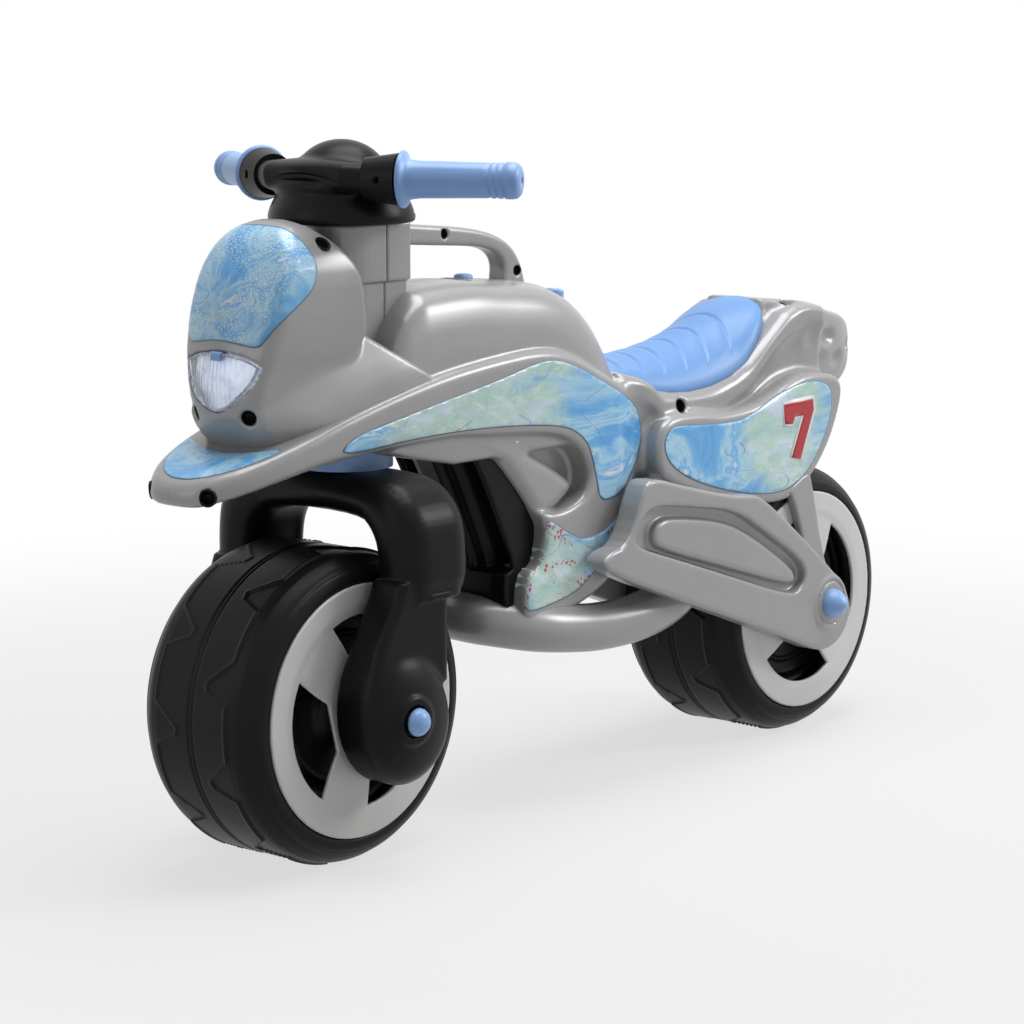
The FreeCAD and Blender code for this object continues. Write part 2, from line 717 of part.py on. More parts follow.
for index in (-1, 0, 1):
    cell_x = (module_x[0] + module_x[1]) / 2 + index * (2 * cell_r + 2.8)
    cells.append(Part.makeCylinder(cell_r, cell_length, Vector(cell_x, 0, module_low + module_wall)))
feature("battery_cells", Part.makeCompound(cells))
speaker_r = size("speaker_diameter / 2")
speaker_h = size("speaker_height")
feature("speaker", Part.makeCylinder(speaker_r, speaker_h,
                                     Vector(module_x[1] - speaker_r - 2, 0, module_low - speaker_h)))
proud = size("button_proud")
depth = size("button_depth")
for offset, y, name in button_place:
    button = Part.makeCylinder(button_r, proud + depth, Vector(0, 0, -depth))
    button = button.makeFillet(1.5, [e for e in button.Edges if e.BoundBox.ZMin > proud - 0.1])
    feature(name, button, Vector(along(offset), y, spine_top(offset, y) + panel_thick))

# ---------------------------------------------------------------- wheels

T = "sizes.tread_width / 2"
R = "sizes.wheel_diameter / 2"
RIM = "sizes.rim_diameter / 2"
WALL = "sizes.tyre_wall"
BEVEL = "sizes.tyre_shoulder"
BORE = "sizes.axle_diameter / 2 + sizes.running_gap"
FACE = "(" + T + " + sizes.rim_proud)"


SPOKES = 3


def wheel(prefix, x_text):
    """Tyre, two rim discs and the tube between them, on an axle along Y."""
    rows = [(T, RIM), (T, R + " - " + BEVEL), (T + " - " + BEVEL, R), ("-(" + T + ") + " + BEVEL, R),
            ("-(" + T + ")", R + " - " + BEVEL), ("-(" + T + ")", RIM),
            ("-(" + T + ") + " + WALL, RIM), ("-(" + T + ") + " + WALL, R + " - " + BEVEL + " - 2"),
            ("-(" + T + ") + " + BEVEL + " + 1", R + " - " + WALL),
            (T + " - " + BEVEL + " - 1", R + " - " + WALL),
            (T + " - " + WALL, R + " - " + BEVEL + " - 2"), (T + " - " + WALL, RIM)]
    tyre = turned(prefix + "_tyre", rows)
    node(place(tyre, x_text, "0", AXLE_Z), prefix + "_tyre")
    hub_r = "sizes.hub_diameter / 2"
    inner_face = FACE + " - sizes.rim_wall"
    tube_rows = [("-(" + inner_face + ")", BORE), (inner_face, BORE), (inner_face, hub_r),
                 ("-(" + inner_face + ")", hub_r)]
    hub = turned(prefix + "_hub", tube_rows)
    node(place(hub, x_text, "0", AXLE_Z), prefix + "_hub")
    disc_rows = [(inner_face, BORE), (FACE, BORE), (FACE, RIM), (inner_face, RIM)]
    disc = turned(prefix + "_rim", disc_rows)
    add_spoke_openings(disc, prefix)
    node(place(disc, x_text, "0", AXLE_Z), prefix + "_rim_left")
    mirrored(disc, prefix + "_rim_right")


def add_spoke_openings(disc, prefix):
    """One opening between two spokes, cut through and repeated round the axle."""
    inner = "sizes.spoke_hole_inner"
    outer = "sizes.spoke_hole_outer"
    corners = [(inner, -0.77), (inner, 0.77), (outer, 1), (outer, 0.5),
               (outer, 0), (outer, -0.5), (outer, -1)]
    angle = "(sizes.spoke_hole_angle / 2 * %g + sizes." + prefix + "_rim_turn) * 1deg)"
    rows = [(radius + " * sin(" + angle % share, radius + " * cos(" + angle % share)
            for radius, share in corners]
    sketch = outline(disc, "XZ_Plane", rows, prefix + "_opening_outline")
    doc.recompute()
    pocket = disc.newObject("PartDesign::Pocket", prefix + "_opening")
    pocket.Profile = sketch
    pocket.Type = "ThroughAll"
    pocket.Midplane = True
    disc.Tip = pocket
    doc.recompute()
    pattern = disc.newObject("PartDesign::PolarPattern", prefix + "_openings")
    pattern.Originals = [pocket]
    pattern.Axis = (sketch, ["N_Axis"])
    pattern.Angle = 360
    pattern.Occurrences = SPOKES
    disc.Tip = pattern
    doc.recompute()


wheel("front", AXLE_X)
wheel("rear", REAR_X)
POD = "(" + T + " + sizes.pod_reach)"
ARM_OUT = "(" + FACE + " + sizes.arm_gap + sizes.arm_thickness)"


def axle(name, x_text, reach):
    rod = solid("Cylinder", name + "_rod", Radius="sizes.axle_diameter / 2", Height="2 * (" + reach + ")")
    place(rod, x_text, "-(" + reach + ")", AXLE_Z, Rotation(Vector(1, 0, 0), -90))
    node(rod, name)


def cap(name, x_text, seat, diameter, height, blunt):
    """Push-on cap that closes an axle end: a short skirt and a rounded nose."""
    half = diameter + " / 2"
    rows = [("0", "0"), ("0", half), ("0.25 * " + height, half), ("0.7 * " + height, blunt + " * " + half),
            (height, "0.45 * " + blunt + " * " + half), (height, "0")]
    body = turned(name, rows)
    node(place(body, x_text, seat, AXLE_Z), name)
    return body


axle("front_axle", AXLE_X, POD)
axle("rear_axle", REAR_X, ARM_OUT)
front_cap = cap("front_axle_cap_left", AXLE_X, POD,
                "sizes.front_cap_diameter", "sizes.front_cap_height", "0.85")
mirrored(front_cap, "front_axle_cap_right")
rear_cap = cap("rear_axle_cap_left", REAR_X, ARM_OUT,
               "sizes.rear_cap_diameter", "sizes.rear_cap_height", "0.75")
mirrored(rear_cap, "rear_axle_cap_right")

# ---------------------------------------------------------------- fork

# Front view of the arch for the left side: distance from the tread's edge, height. Inner line first.
leg_in = tread_half + size("leg_gap")
leg_out = leg_in + size("leg_thickness")
crown_low = crown_top - size("crown_height")
sleeve_end = up(204)
crown_x = (steering_x - size("crown_length / 2") - 2, steering_x + size("crown_length / 2") - 2)
neck_x = (axle_x - 42, axle_x + 8)
pod_r = size("pod_diameter / 2")
boss_r = size("axle_boss_diameter / 2")
axle_r = size("axle_diameter / 2")


def arch(inset):
    """Crown and both shoulders as one prism along the bike."""
    half = [(leg_in * 0.62, crown_low + inset), (leg_in * 0.88, crown_low - 8 + inset),
            (leg_in + inset, crown_low - 24), (leg_in + inset, sleeve_end + inset),
            (leg_out - inset, sleeve_end + inset), (leg_out - inset, crown_top - 42),
            (leg_out - 10 - 0.7 * inset, crown_top - 16 - 0.7 * inset),
            (leg_out - 32, crown_top - 2 - inset), (leg_out - 50, crown_top - inset)]
    loop = half + [(-y, z) for y, z in half[::-1]]
    wire = Part.makePolygon([Vector(crown_x[0] + inset, y, z) for y, z in loop + loop[:1]])
    return Part.Face(wire).extrude(Vector(crown_x[1] - crown_x[0] - 2 * inset, 0, 0))


pod_collar = size("pod_collar")


def leg(side, inset):
    """Neck and axle pod on one side."""
    low = leg_in + inset
    neck_length = neck_x[1] - neck_x[0] - 2 * inset
    neck_height = sleeve_end + 8 - wheel_radius
    neck = Part.makeBox(neck_length, leg_out - 6 - inset - low, neck_height,
                        Vector(neck_x[0] + inset, low, wheel_radius))
    pod = along_y(pod_r - inset, low, pod_y - pod_collar - inset, axle_x, wheel_radius)
    if inset == 0:
        pod = pod.makeFillet(12, [e for e in pod.Edges if e.BoundBox.YMin > pod_y - pod_collar - 1])
    shape = neck.fuse(pod)
    if side < 0:
        shape = shape.mirror(Vector(0, 0, 0), Vector(0, 1, 0))
    return shape


fork_outer = arch(0).fuse([leg(1, 0), leg(-1, 0)])
fork_room = arch(wall).fuse([leg(1, wall), leg(-1, wall)])
fork = fork_outer.cut(fork_room)
collars = []
for side in (1, -1):
    outer = along_y(boss_r, rim_face + side_gap, pod_y, axle_x, wheel_radius)
    collars.append(outer if side > 0 else outer.mirror(Vector(0, 0, 0), Vector(0, 1, 0)))
fork = fork.fuse(collars)
crown_socket = Part.makeCylinder(tube_r + 5, crown_top - crown_low, Vector(steering_x, 0, crown_low))
fork = fork.fuse(crown_socket)
fork = fork.cut(along_y(axle_r, -pod_y - 10, pod_y + 10, axle_x, wheel_radius))
fork = fork.cut(Part.makeCylinder(tube_r, 200, Vector(steering_x, 0, crown_low + wall)))
slope = [(axle_x, wheel_radius - 200), (axle_x, wheel_radius), (steering_x, crown_top),
         (steering_x, crown_top + 50), (axle_x + 400, crown_top + 50), (axle_x + 400, wheel_radius - 200)]
front_half = plate(slope, -400, 400)
feature("fork_front_shell", fork.common(front_half))
feature("fork_rear_shell", fork.cut(front_half))

# ---------------------------------------------------------------- steering tube and dash

DASH_LOW = "sizes.head_top + 0.6 + " + LIFT
shaft_low = "(sizes.crown_top - sizes.crown_height + sizes.shell_wall)"
shaft = tube("steering_shaft", "sizes.steering_tube_diameter / 2",
             "sizes.steering_tube_diameter / 2 - sizes.steering_tube_wall",
             "sizes.head_top + 0.6 + sizes.dash_height - " + shaft_low)
place(shaft, STEERING_X, "0", shaft_low + " + " + LIFT)
node(shaft, "steering_shaft")

outer_cone = solid("Cone", "dash_base_outer", Radius1="sizes.dash_diameter / 2",
                   Radius2="sizes.dash_diameter / 2 - 7", Height="sizes.dash_height")
inner_cone = solid("Cone", "dash_base_room", Radius1="sizes.dash_diameter / 2 - sizes.shell_wall",
                   Radius2="sizes.dash_diameter / 2 - 7 - sizes.shell_wall",
                   Height="sizes.dash_height - sizes.shell_wall")
dash_cup = cut(outer_cone, inner_cone, "dash_base_cup")
dash_bore = solid("Cylinder", "dash_base_bore", Radius="sizes.steering_tube_diameter / 2", Height="60")
dash_base = cut(dash_cup, dash_bore, "dash_base_bored")
place(dash_base, STEERING_X, "0", DASH_LOW)
node(dash_base, "dash_base")

dash_seat = size("head_top") + 0.6 + size("dash_height") + lift
dash_peak = size("dash_top") + lift
dash_r = size("dash_diameter / 2") - 9
bar_r = size("bar_diameter / 2")
bar_x = steering_x + size("bar_ahead")
bar_corner = size("bar_corner")
sweep = math.radians(size("bar_sweep"))
bar_way = Vector(-math.sin(sweep), math.cos(sweep), 0)
corner = Vector(bar_x, bar_corner, bar_z)
bar_end = corner + bar_way * (size("grip_start + grip_length") - 5)


def dome(radius, top, extra):
    """Dash cover as a turned dome, with a straight skirt below its seat where one is asked for."""
    low = dash_seat
    curve = Part.BSplineCurve()
    shares = [math.sin(math.radians(angle)) for angle in (90, 75, 55, 35, 15, 0)]
    curve.interpolate([Vector(steering_x + radius * share, 0, low + (top - low) * (1 - share ** 2.5) ** 0.4)
                       for share in shares])
    loop = [Vector(steering_x, 0, top), Vector(steering_x, 0, low - extra)]
    loop += [Vector(steering_x + radius, 0, low - extra)] if extra > 0 else []
    loop.append(Vector(steering_x + radius, 0, low))
    edges = [curve.toShape()] + [Part.makeLine(a, b) for a, b in zip(loop, loop[1:])]
    return Part.Face(Part.Wire(edges)).revolve(Vector(steering_x, 0, 0), Vector(0, 0, 1), 360)


end_right = Vector(bar_end.x, -bar_end.y, bar_end.z)
corner_right = Vector(corner.x, -corner.y, corner.z)
bar_path = [end_right, corner_right, corner, bar_end]
bar_solid = smooth_tube(bar_path, bar_r, 25.0)
cover = dome(dash_r, dash_peak, 0.0).cut(dome(dash_r - wall, dash_peak - wall, 1.0))
clamp = size("clamp_length")
saddle = Part.makeBox(clamp, 2 * bar_corner - 14, bar_z - dash_seat,
                      Vector(bar_x - clamp / 2, -bar_corner + 7, dash_seat))
feature("dash_cover", cover.cut(bar_solid))
saddle = saddle.common(dome(dash_r - wall - gap, dash_peak - wall, 0.0))
feature("handlebar_clamp", saddle.cut(bar_solid))
bar_hollow = smooth_tube(bar_path, bar_r - size("bar_wall"), 25.0)


def on_bar(distance):
    return corner + bar_way * distance


def bar_cylinder(radius, start, length):
    return Part.makeCylinder(radius, length, on_bar(start), bar_way)


cone_start = size("grip_start") - size("hub_cone_length")
cone = Part.makeCone(15.5, 19.0, size("hub_cone_length") - 1, on_bar(cone_start), bar_way)
base_room = Part.makeCone(size("dash_diameter / 2") + gap, size("dash_diameter / 2") - 7 + gap,
                          size("dash_height"), Vector(steering_x, 0, dash_seat - size("dash_height")))
cone = cone.cut(dome(dash_r, dash_peak, 1.0)).cut(base_room)
cone = cone.cut(bar_cylinder(bar_r, 0, 100))
ahead = Vector(math.cos(sweep), math.sin(sweep), 0)
screw_at = on_bar(cone_start + 13)
bar_screw_head = Part.makeCylinder(head_r - 0.8, 2.5, screw_at + ahead * 15.0, ahead)
bar_screw_solid = Part.makeCylinder(screw_r, 9, screw_at + ahead * 6.6, ahead).fuse(bar_screw_head)
cone_left = cone.cut(bar_screw_solid.removeSplitter())
feature("bar_hub_left", max(cone_left.Solids, key=lambda piece: piece.Volume))
mirror_y = (Vector(0, 0, 0), Vector(0, 1, 0))
bar_screws = [bar_screw_solid.removeSplitter(), bar_screw_solid.removeSplitter().mirror(*mirror_y)]
feature("bar_hub_right", max(cone_left.Solids, key=lambda piece: piece.Volume).mirror(*mirror_y))
feature("bar_screws", Part.makeCompound(bar_screws))
feature("handlebar_tube", bar_solid.cut(bar_hollow).cut(Part.makeCompound(bar_screws)))

G = "sizes.grip_diameter / 2"
BAR = "sizes.bar_diameter / 2"
LENGTH = "sizes.grip_length"
START = "sizes.grip_start"
FLANGE = "sizes.grip_flange_diameter / 2"
grip_rows = [(START, BAR), (START, FLANGE), (START + " + 4", FLANGE), (START + " + 9", G),
             (START + " + " + LENGTH, G),
             (START + " + " + LENGTH, "2.5"), (START + " + " + LENGTH + " - 4", "2.5"),
             (START + " + " + LENGTH + " - 4", BAR)]
grip = turned("grip_left", grip_rows)
place(grip, STEERING_X + " + sizes.bar_ahead", "sizes.bar_corner", "sizes.bar_height + " + LIFT,
      Rotation(Vector(0, 0, 1), size("bar_sweep")))
grip.setExpression("Placement.Rotation.Angle", "sizes.bar_sweep")
node(grip, "grip_left")
mirrored(grip, "grip_right")

# ---------------------------------------------------------------- rear arms, struts and exhaust pipes

ARM = [(-254, 189), (-262, 206), (-305, 256), (-314, 258), (-380, 240), (-448, 226), (-500, 195)]
ARM_LOW = [(-470, 112), (-379, 146)]


def arm_text(x, z):
    """Bound place of an arm corner: stretched with the wheelbase, carried with the body."""
    along_text = "(sizes.wheelbase - 182 - sizes.wheel_diameter / 2 + 120) / 386"
    return (REAR_X + " + %g * %s" % (x + DRAWN_WHEELBASE, along_text), "%g + %s" % (z, LIFT))


def ring_text(angle):
    """Bound place on the round end of the arm."""
    turn = math.radians(angle)
    end = " + sizes.arm_end_diameter / 2 * %g"
    return (REAR_X + end % math.cos(turn), AXLE_Z + end % math.sin(turn))


arm_rows = [arm_text(x, z) for x, z in ARM]
arm_rows += [ring_text(angle) for angle in (95, 130, 165, 200, 235, 270)]
arm_rows += [arm_text(x, z) for x, z in ARM_LOW]
arm = doc.addObject("PartDesign::Body", "rear_arm_body")
arm_sketch = outline(arm, "XZ_Plane", arm_rows, "rear_arm_outline")
arm_pad = arm.newObject("PartDesign::Pad", "rear_arm_pad")
arm_pad.Profile = arm_sketch
arm_pad.setExpression("Length", "sizes.arm_thickness")
arm_pad.Reversed = True
arm.Tip = arm_pad
place(arm, "0", FACE + " + sizes.arm_gap", "0")
doc.recompute()
rear_foot = Part.makeBox(50, arm_y - body_half, 34, Vector(along(-330), body_half, up(206)))
rear_boss = along_y(boss_r, rim_face + side_gap, arm_y, rear_x, wheel_radius)
arm_shape = arm.Shape.fuse([rear_foot, rear_boss])
arm_shape = arm_shape.cut(along_y(axle_r, -200, 200, rear_x, wheel_radius)).removeSplitter()
feature("rear_arm_left", arm_shape)
feature("rear_arm_right", arm_shape.mirror(*mirror_y))
strut_in = rim_face + size("strut_gap")
strut_top = [(along(-548), strut_in), (along(-516), strut_in), (along(-516), rear_half),
             (along(-548), rear_half)]
strut_low = [(rear_x - 32, strut_in), (rear_x + 8, strut_in), (rear_x + 8, arm_out - 4),
             (rear_x - 32, arm_out - 4)]


def level(points, z):
    loop = [Vector(x, y, z) for x, y in points]
    return Part.makePolygon(loop + loop[:1])


strut = loft([level(strut_low, wheel_radius + 22), level(strut_top, up(234))], True)
strut = strut.cut(rear_box).cut(arm_shape)
strut = max(strut.Solids, key=lambda piece: piece.Volume)
feature("rear_strut_left", strut)
feature("rear_strut_right", strut.mirror(*mirror_y))

PIPE = [(-200, 22, 149), (-232, 32, 144), (-290, 46, 138), (-352, 47, 136), (-398, 44, 158),
        (-402, 40, 205)]
pipe_points = [Vector(along(x), y, up(z)) for x, y, z in PIPE]
pipe_r = size("pipe_diameter / 2")
pipe = smooth_tube(pipe_points, pipe_r, 32.0)
pipe_room = smooth_tube(pipe_points, pipe_r - size("pipe_wall"), 32.0)
pipe = pipe.common(half_space(1)).cut(pipe_room)
pipe = pipe.cut(engine(0)).cut(tray)
pipe = max(pipe.Solids, key=lambda piece: piece.Volume)
feature("exhaust_left", pipe)
feature("exhaust_right", pipe.mirror(*mirror_y))

# ---------------------------------------------------------------- check and write

doc.recompute()
for obj in doc.Objects:
    if "Invalid" in obj.State or "Error" in obj.State:
        raise RuntimeError("failed object: " + obj.Label)
os.makedirs("parts", exist_ok=True)
for obj in nodes:
    if obj.Shape.isNull() or not obj.Shape.isValid():
        raise RuntimeError("bad shape: " + obj.Label)
    obj.Shape.exportStep("parts/" + obj.Label + ".step")
print(len(nodes), "nodes written")
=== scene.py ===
"""Ride-on toy motorcycle: the visible pieces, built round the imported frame.

Shapes are worked out in millimetres as (u, y, z): u ahead of the front axle, y to the
rider's left and z above the floor. They are turned into metres as each mesh is made.
"""
import math

import bmesh
import bpy
import numpy as np
from mathutils import Matrix, Vector
from mathutils.bvhtree import BVHTree
from mathutils.geometry import delaunay_2d_cdt


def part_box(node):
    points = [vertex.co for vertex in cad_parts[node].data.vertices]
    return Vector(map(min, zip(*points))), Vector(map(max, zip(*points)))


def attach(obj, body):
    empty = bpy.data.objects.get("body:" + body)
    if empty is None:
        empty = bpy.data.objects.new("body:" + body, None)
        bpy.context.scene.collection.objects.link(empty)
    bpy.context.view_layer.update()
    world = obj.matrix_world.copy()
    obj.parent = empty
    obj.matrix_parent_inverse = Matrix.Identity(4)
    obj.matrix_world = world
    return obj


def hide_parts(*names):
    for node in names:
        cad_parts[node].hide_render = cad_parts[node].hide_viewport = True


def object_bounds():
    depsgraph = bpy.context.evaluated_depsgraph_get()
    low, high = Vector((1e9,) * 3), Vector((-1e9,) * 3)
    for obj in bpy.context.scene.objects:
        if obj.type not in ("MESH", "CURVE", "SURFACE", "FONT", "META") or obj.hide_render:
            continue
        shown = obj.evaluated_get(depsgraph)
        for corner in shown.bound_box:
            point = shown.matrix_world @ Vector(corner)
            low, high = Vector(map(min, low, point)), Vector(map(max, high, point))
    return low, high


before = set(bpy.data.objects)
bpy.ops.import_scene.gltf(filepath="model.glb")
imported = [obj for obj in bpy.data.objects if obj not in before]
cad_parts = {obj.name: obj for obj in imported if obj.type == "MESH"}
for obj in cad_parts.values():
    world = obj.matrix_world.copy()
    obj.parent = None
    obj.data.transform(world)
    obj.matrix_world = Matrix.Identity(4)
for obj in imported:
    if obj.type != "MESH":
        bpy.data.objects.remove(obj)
cad_low, cad_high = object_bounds()

MM = 0.001
AXLE_LOW, AXLE_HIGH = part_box("front_axle")
FRONT_X = (AXLE_LOW.x + AXLE_HIGH.x) / 2 / MM
REAR_LOW, REAR_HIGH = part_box("rear_axle")
REAR_U = (REAR_LOW.x + REAR_HIGH.x) / 2 / MM - FRONT_X
WHEEL_R = (AXLE_LOW.z + AXLE_HIGH.z) / 2 / MM
SHAFT_LOW, SHAFT_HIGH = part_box("steering_shaft")
STEER_U = (SHAFT_LOW.x + SHAFT_HIGH.x) / 2 / MM - FRONT_X
COARSE = 1.0


# ---------------------------------------------------------------- shader maths
class Value:
    """A socket that can be written in a sum."""

    def __init__(self, finish, socket):
        self.finish = finish
        self.socket = socket

    def _with(self, operation, *others):
        values = dict(enumerate(others))
        return self.finish.node("ShaderNodeMath", {"operation": operation}, values)

    def __add__(self, other):
        return self._with("ADD", self, other)

    def __radd__(self, other):
        return self._with("ADD", other, self)

    def __sub__(self, other):
        return self._with("SUBTRACT", self, other)

    def __rsub__(self, other):
        return self._with("SUBTRACT", other, self)

    def __mul__(self, other):
        return self._with("MULTIPLY", self, other)

    def __rmul__(self, other):
        return self._with("MULTIPLY", other, self)

    def __truediv__(self, other):
        return self._with("DIVIDE", self, other)

    def over(self, edge, width):
        """0 below the edge and 1 above it, with a soft step of that width."""
        settings = {"interpolation_type": "SMOOTHSTEP"}
        sockets = {"Value": self, "From Min": edge - width / 2, "From Max": edge + width / 2}
        return self.finish.node("ShaderNodeMapRange", settings, sockets)


class Finish:
    """A material and the nodes that give its finish."""

    def __init__(self, name, **shader):
        self.material = bpy.data.materials.new(name)
        self.material.use_nodes = True
        self.tree = self.material.node_tree
        self.tree.nodes.clear()
        self.shader = self.tree.nodes.new("ShaderNodeBsdfPrincipled")
        self.out = self.tree.nodes.new("ShaderNodeOutputMaterial")
        self.tree.links.new(self.shader.outputs[0], self.out.inputs[0])
        self.set(**{k.replace("_", " "): v for k, v in shader.items()})

    def set(self, **sockets):
        """Sets the shader's own sockets, to a number, a colour or a value."""
        for name, value in sockets.items():
            self._fill(self.shader.inputs[name], value)

    def _fill(self, socket, value):
        if isinstance(value, Value):
            self.tree.links.new(value.socket, socket)
        elif isinstance(value, tuple) and len(value) == 3 and socket.type == "RGBA":
            socket.default_value = (*value, 1)
        else:
            socket.default_value = value

    def node(self, kind, settings=None, sockets=None, output=0):
        """A node of that type: its settings first, then the values or links of its sockets."""
        made = self.tree.nodes.new(kind)
        for name, value in (settings or {}).items():
            if name == "stops":
                self._stops(made.color_ramp, value)
            else:
                setattr(made, name, value)
        for name, value in (sockets or {}).items():
            self._fill(made.inputs[name], value)
        return Value(self, made.outputs[output])

    @staticmethod
    def _stops(ramp, stops):
        while len(ramp.elements) < len(stops):
            ramp.elements.new(0.5)
        for element, (position, colour) in zip(ramp.elements, stops):
            element.position = position
            element.color = (*colour, 1)

    def place(self):
        """The point of the surface, in metres in the row frame."""
        return self.node("ShaderNodeTexCoord", output=3)

    def noise(self, scale, detail=2.0, vector=None, rough=0.5, distortion=0.0):
        sockets = {"Scale": scale, "Detail": detail, "Roughness": rough, "Distortion": distortion}
        sockets["Vector"] = vector or self.place()
        return self.node("ShaderNodeTexNoise", None, sockets)

    def mix(self, factor, a, b):
        """Colour a, or b where the factor is 1."""
        sockets = {0: factor, 6: a, 7: b}
        return self.node("ShaderNodeMix", {"data_type": "RGBA"}, sockets, output=2)

    def ramp(self, value, stops):
        return self.node("ShaderNodeValToRGB", {"stops": stops}, {0: value})

    def bump(self, height, distance):
        """Sets the shader's normal from a height, its distance in metres."""
        sockets = {"Height": height, "Distance": distance, "Strength": 1.0}
        self.set(Normal=self.node("ShaderNodeBump", None, sockets))


FLAKES_PER_METRE = 2600.0


def toned(colour, share, extra=0.0):
    """A colour made lighter or darker, no brighter than 1."""
    return tuple(min(1, c * share + extra) for c in colour)


def moulded(name, colour, rough, metal=0.0, grain=0.00003, flake=0.0, gloss=0.5):
    """Moulded plastic: a fine grain, slow changes of gloss, faint handling marks and flow lines."""
    finish = Finish(name, Metallic=metal)
    finish.shader.inputs["Specular IOR Level"].default_value = gloss
    slow = finish.noise(11.0, 3.0)
    fine = finish.noise(900.0, 2.0)
    marks = finish.noise(60.0, 6.0, rough=0.7, distortion=0.6)
    dusty = marks.over(0.66, 0.12) * 0.5
    shade = finish.mix(slow, toned(colour, 0.93), toned(colour, 1.05))
    if flake:
        cells = {"Vector": finish.place(), "Scale": FLAKES_PER_METRE}
        speck = finish.node("ShaderNodeTexVoronoi", None, cells, 1)
        spark = finish.node("ShaderNodeRGBToBW", None, {0: speck})
        shade = finish.mix(spark.over(0.72, 0.2) * flake, shade, toned(colour, 1.7))
        shade = finish.mix((1 - spark).over(0.8, 0.2) * flake, shade, toned(colour, 0.6))
    finish.set(**{"Base Color": finish.mix(dusty * 0.35, shade, toned(colour, 1.25, 0.01))})
    finish.set(Roughness=rough - 0.05 + 0.1 * slow + 0.08 * dusty)
    finish.bump(fine + 0.6 * marks, grain)
    return finish.material


SILVER_TONE = (0.37, 0.37, 0.375)
BLACK_TONE = (0.0065, 0.0065, 0.007)
SKY = (0.155, 0.34, 0.70)
FINISHES = {
    "body_silver": moulded("body_silver", SILVER_TONE, 0.30, metal=0.15, grain=0.00002, flake=0.12),
    "black_plastic": moulded("black_plastic", BLACK_TONE, 0.33, grain=0.00004, gloss=0.12),
    "tyre_black": moulded("tyre_black", BLACK_TONE, 0.38, grain=0.00005, gloss=0.14),
    "rim_pale": moulded("rim_pale", (0.70, 0.70, 0.69), 0.5, metal=0.1, flake=0.1),
    "seat_blue": moulded("seat_blue", SKY, 0.42),
    "blue_plastic": moulded("blue_plastic", (0.28, 0.48, 0.88), 0.36),
    "bush_white": moulded("bush_white", (0.75, 0.75, 0.73), 0.45),
    "lamp_white": moulded("lamp_white", (0.85, 0.87, 0.9), 0.3),
    "steel": moulded("steel", (0.5, 0.5, 0.5), 0.35, metal=1.0, grain=0.00003),
    "cell_metal": moulded("cell_metal", (0.45, 0.42, 0.36), 0.4, metal=0.8),
}
# Painted shade: a near-black finish for the liners in the screw recesses.
PIT_SHADE = moulded("pit_painted_shade", (0.004, 0.004, 0.004), 0.5, gloss=0.15)


def clear_lens():
    """Clear moulded plastic, faintly frosted."""
    finish = Finish("lens_clear", Roughness=0.06, IOR=1.49)
    finish.shader.inputs["Transmission Weight"].default_value = 0.9
    frost = finish.noise(35.0, 3.0)
    finish.set(**{"Base Color": finish.mix(frost, (0.93, 0.95, 1.0), (0.85, 0.88, 0.97))})
    return finish.material


def mirror_bowl():
    """A plated bowl with upright facets, with a painted glow and patches of painted reflection in
    its colour.
    """
    finish = Finish("reflector", Metallic=0.3)
    # Painted glow: a faint pale-blue emission, though the bowl is no lamp.
    finish.shader.inputs["Emission Color"].default_value = (0.8, 0.88, 1.0, 1)
    finish.shader.inputs["Emission Strength"].default_value = 0.22
    place = finish.place()
    side = finish.node("ShaderNodeSeparateXYZ", None, {0: place}, 1)
    flutes = finish.node("ShaderNodeMath", {"operation": "SINE"}, {0: side * 1500.0})
    # Painted reflection: noise patches of pale blue-grey in the bowl's colour, also rougher there.
    reflection_patch = finish.noise(70.0, 4.0, distortion=1.0)
    base = finish.mix(reflection_patch.over(0.52, 0.2), (0.93, 0.95, 1.0), (0.66, 0.70, 0.86))
    finish.set(**{"Base Color": base, "Roughness": 0.12 + 0.2 * reflection_patch})
    finish.bump(flutes, 0.00025)
    return finish.material


FINISHES["lens_clear"] = clear_lens()
FINISHES["reflector"] = mirror_bowl()

DEEP_SKY = (0.05, 0.33, 0.85)
MID_SKY = (0.15, 0.50, 0.92)
PALE_SKY = (0.46, 0.76, 0.96)
FOAM = (0.90, 0.95, 0.98)
LEAF = (0.50, 0.74, 0.50)
STRAW = (0.72, 0.84, 0.52)
INK = (0.10, 0.16, 0.24)
DOT_WHITE = (0.93, 0.95, 0.97)
BERRY = (0.62, 0.03, 0.06)
FILM_EDGE = (0.13, 0.2, 0.3)


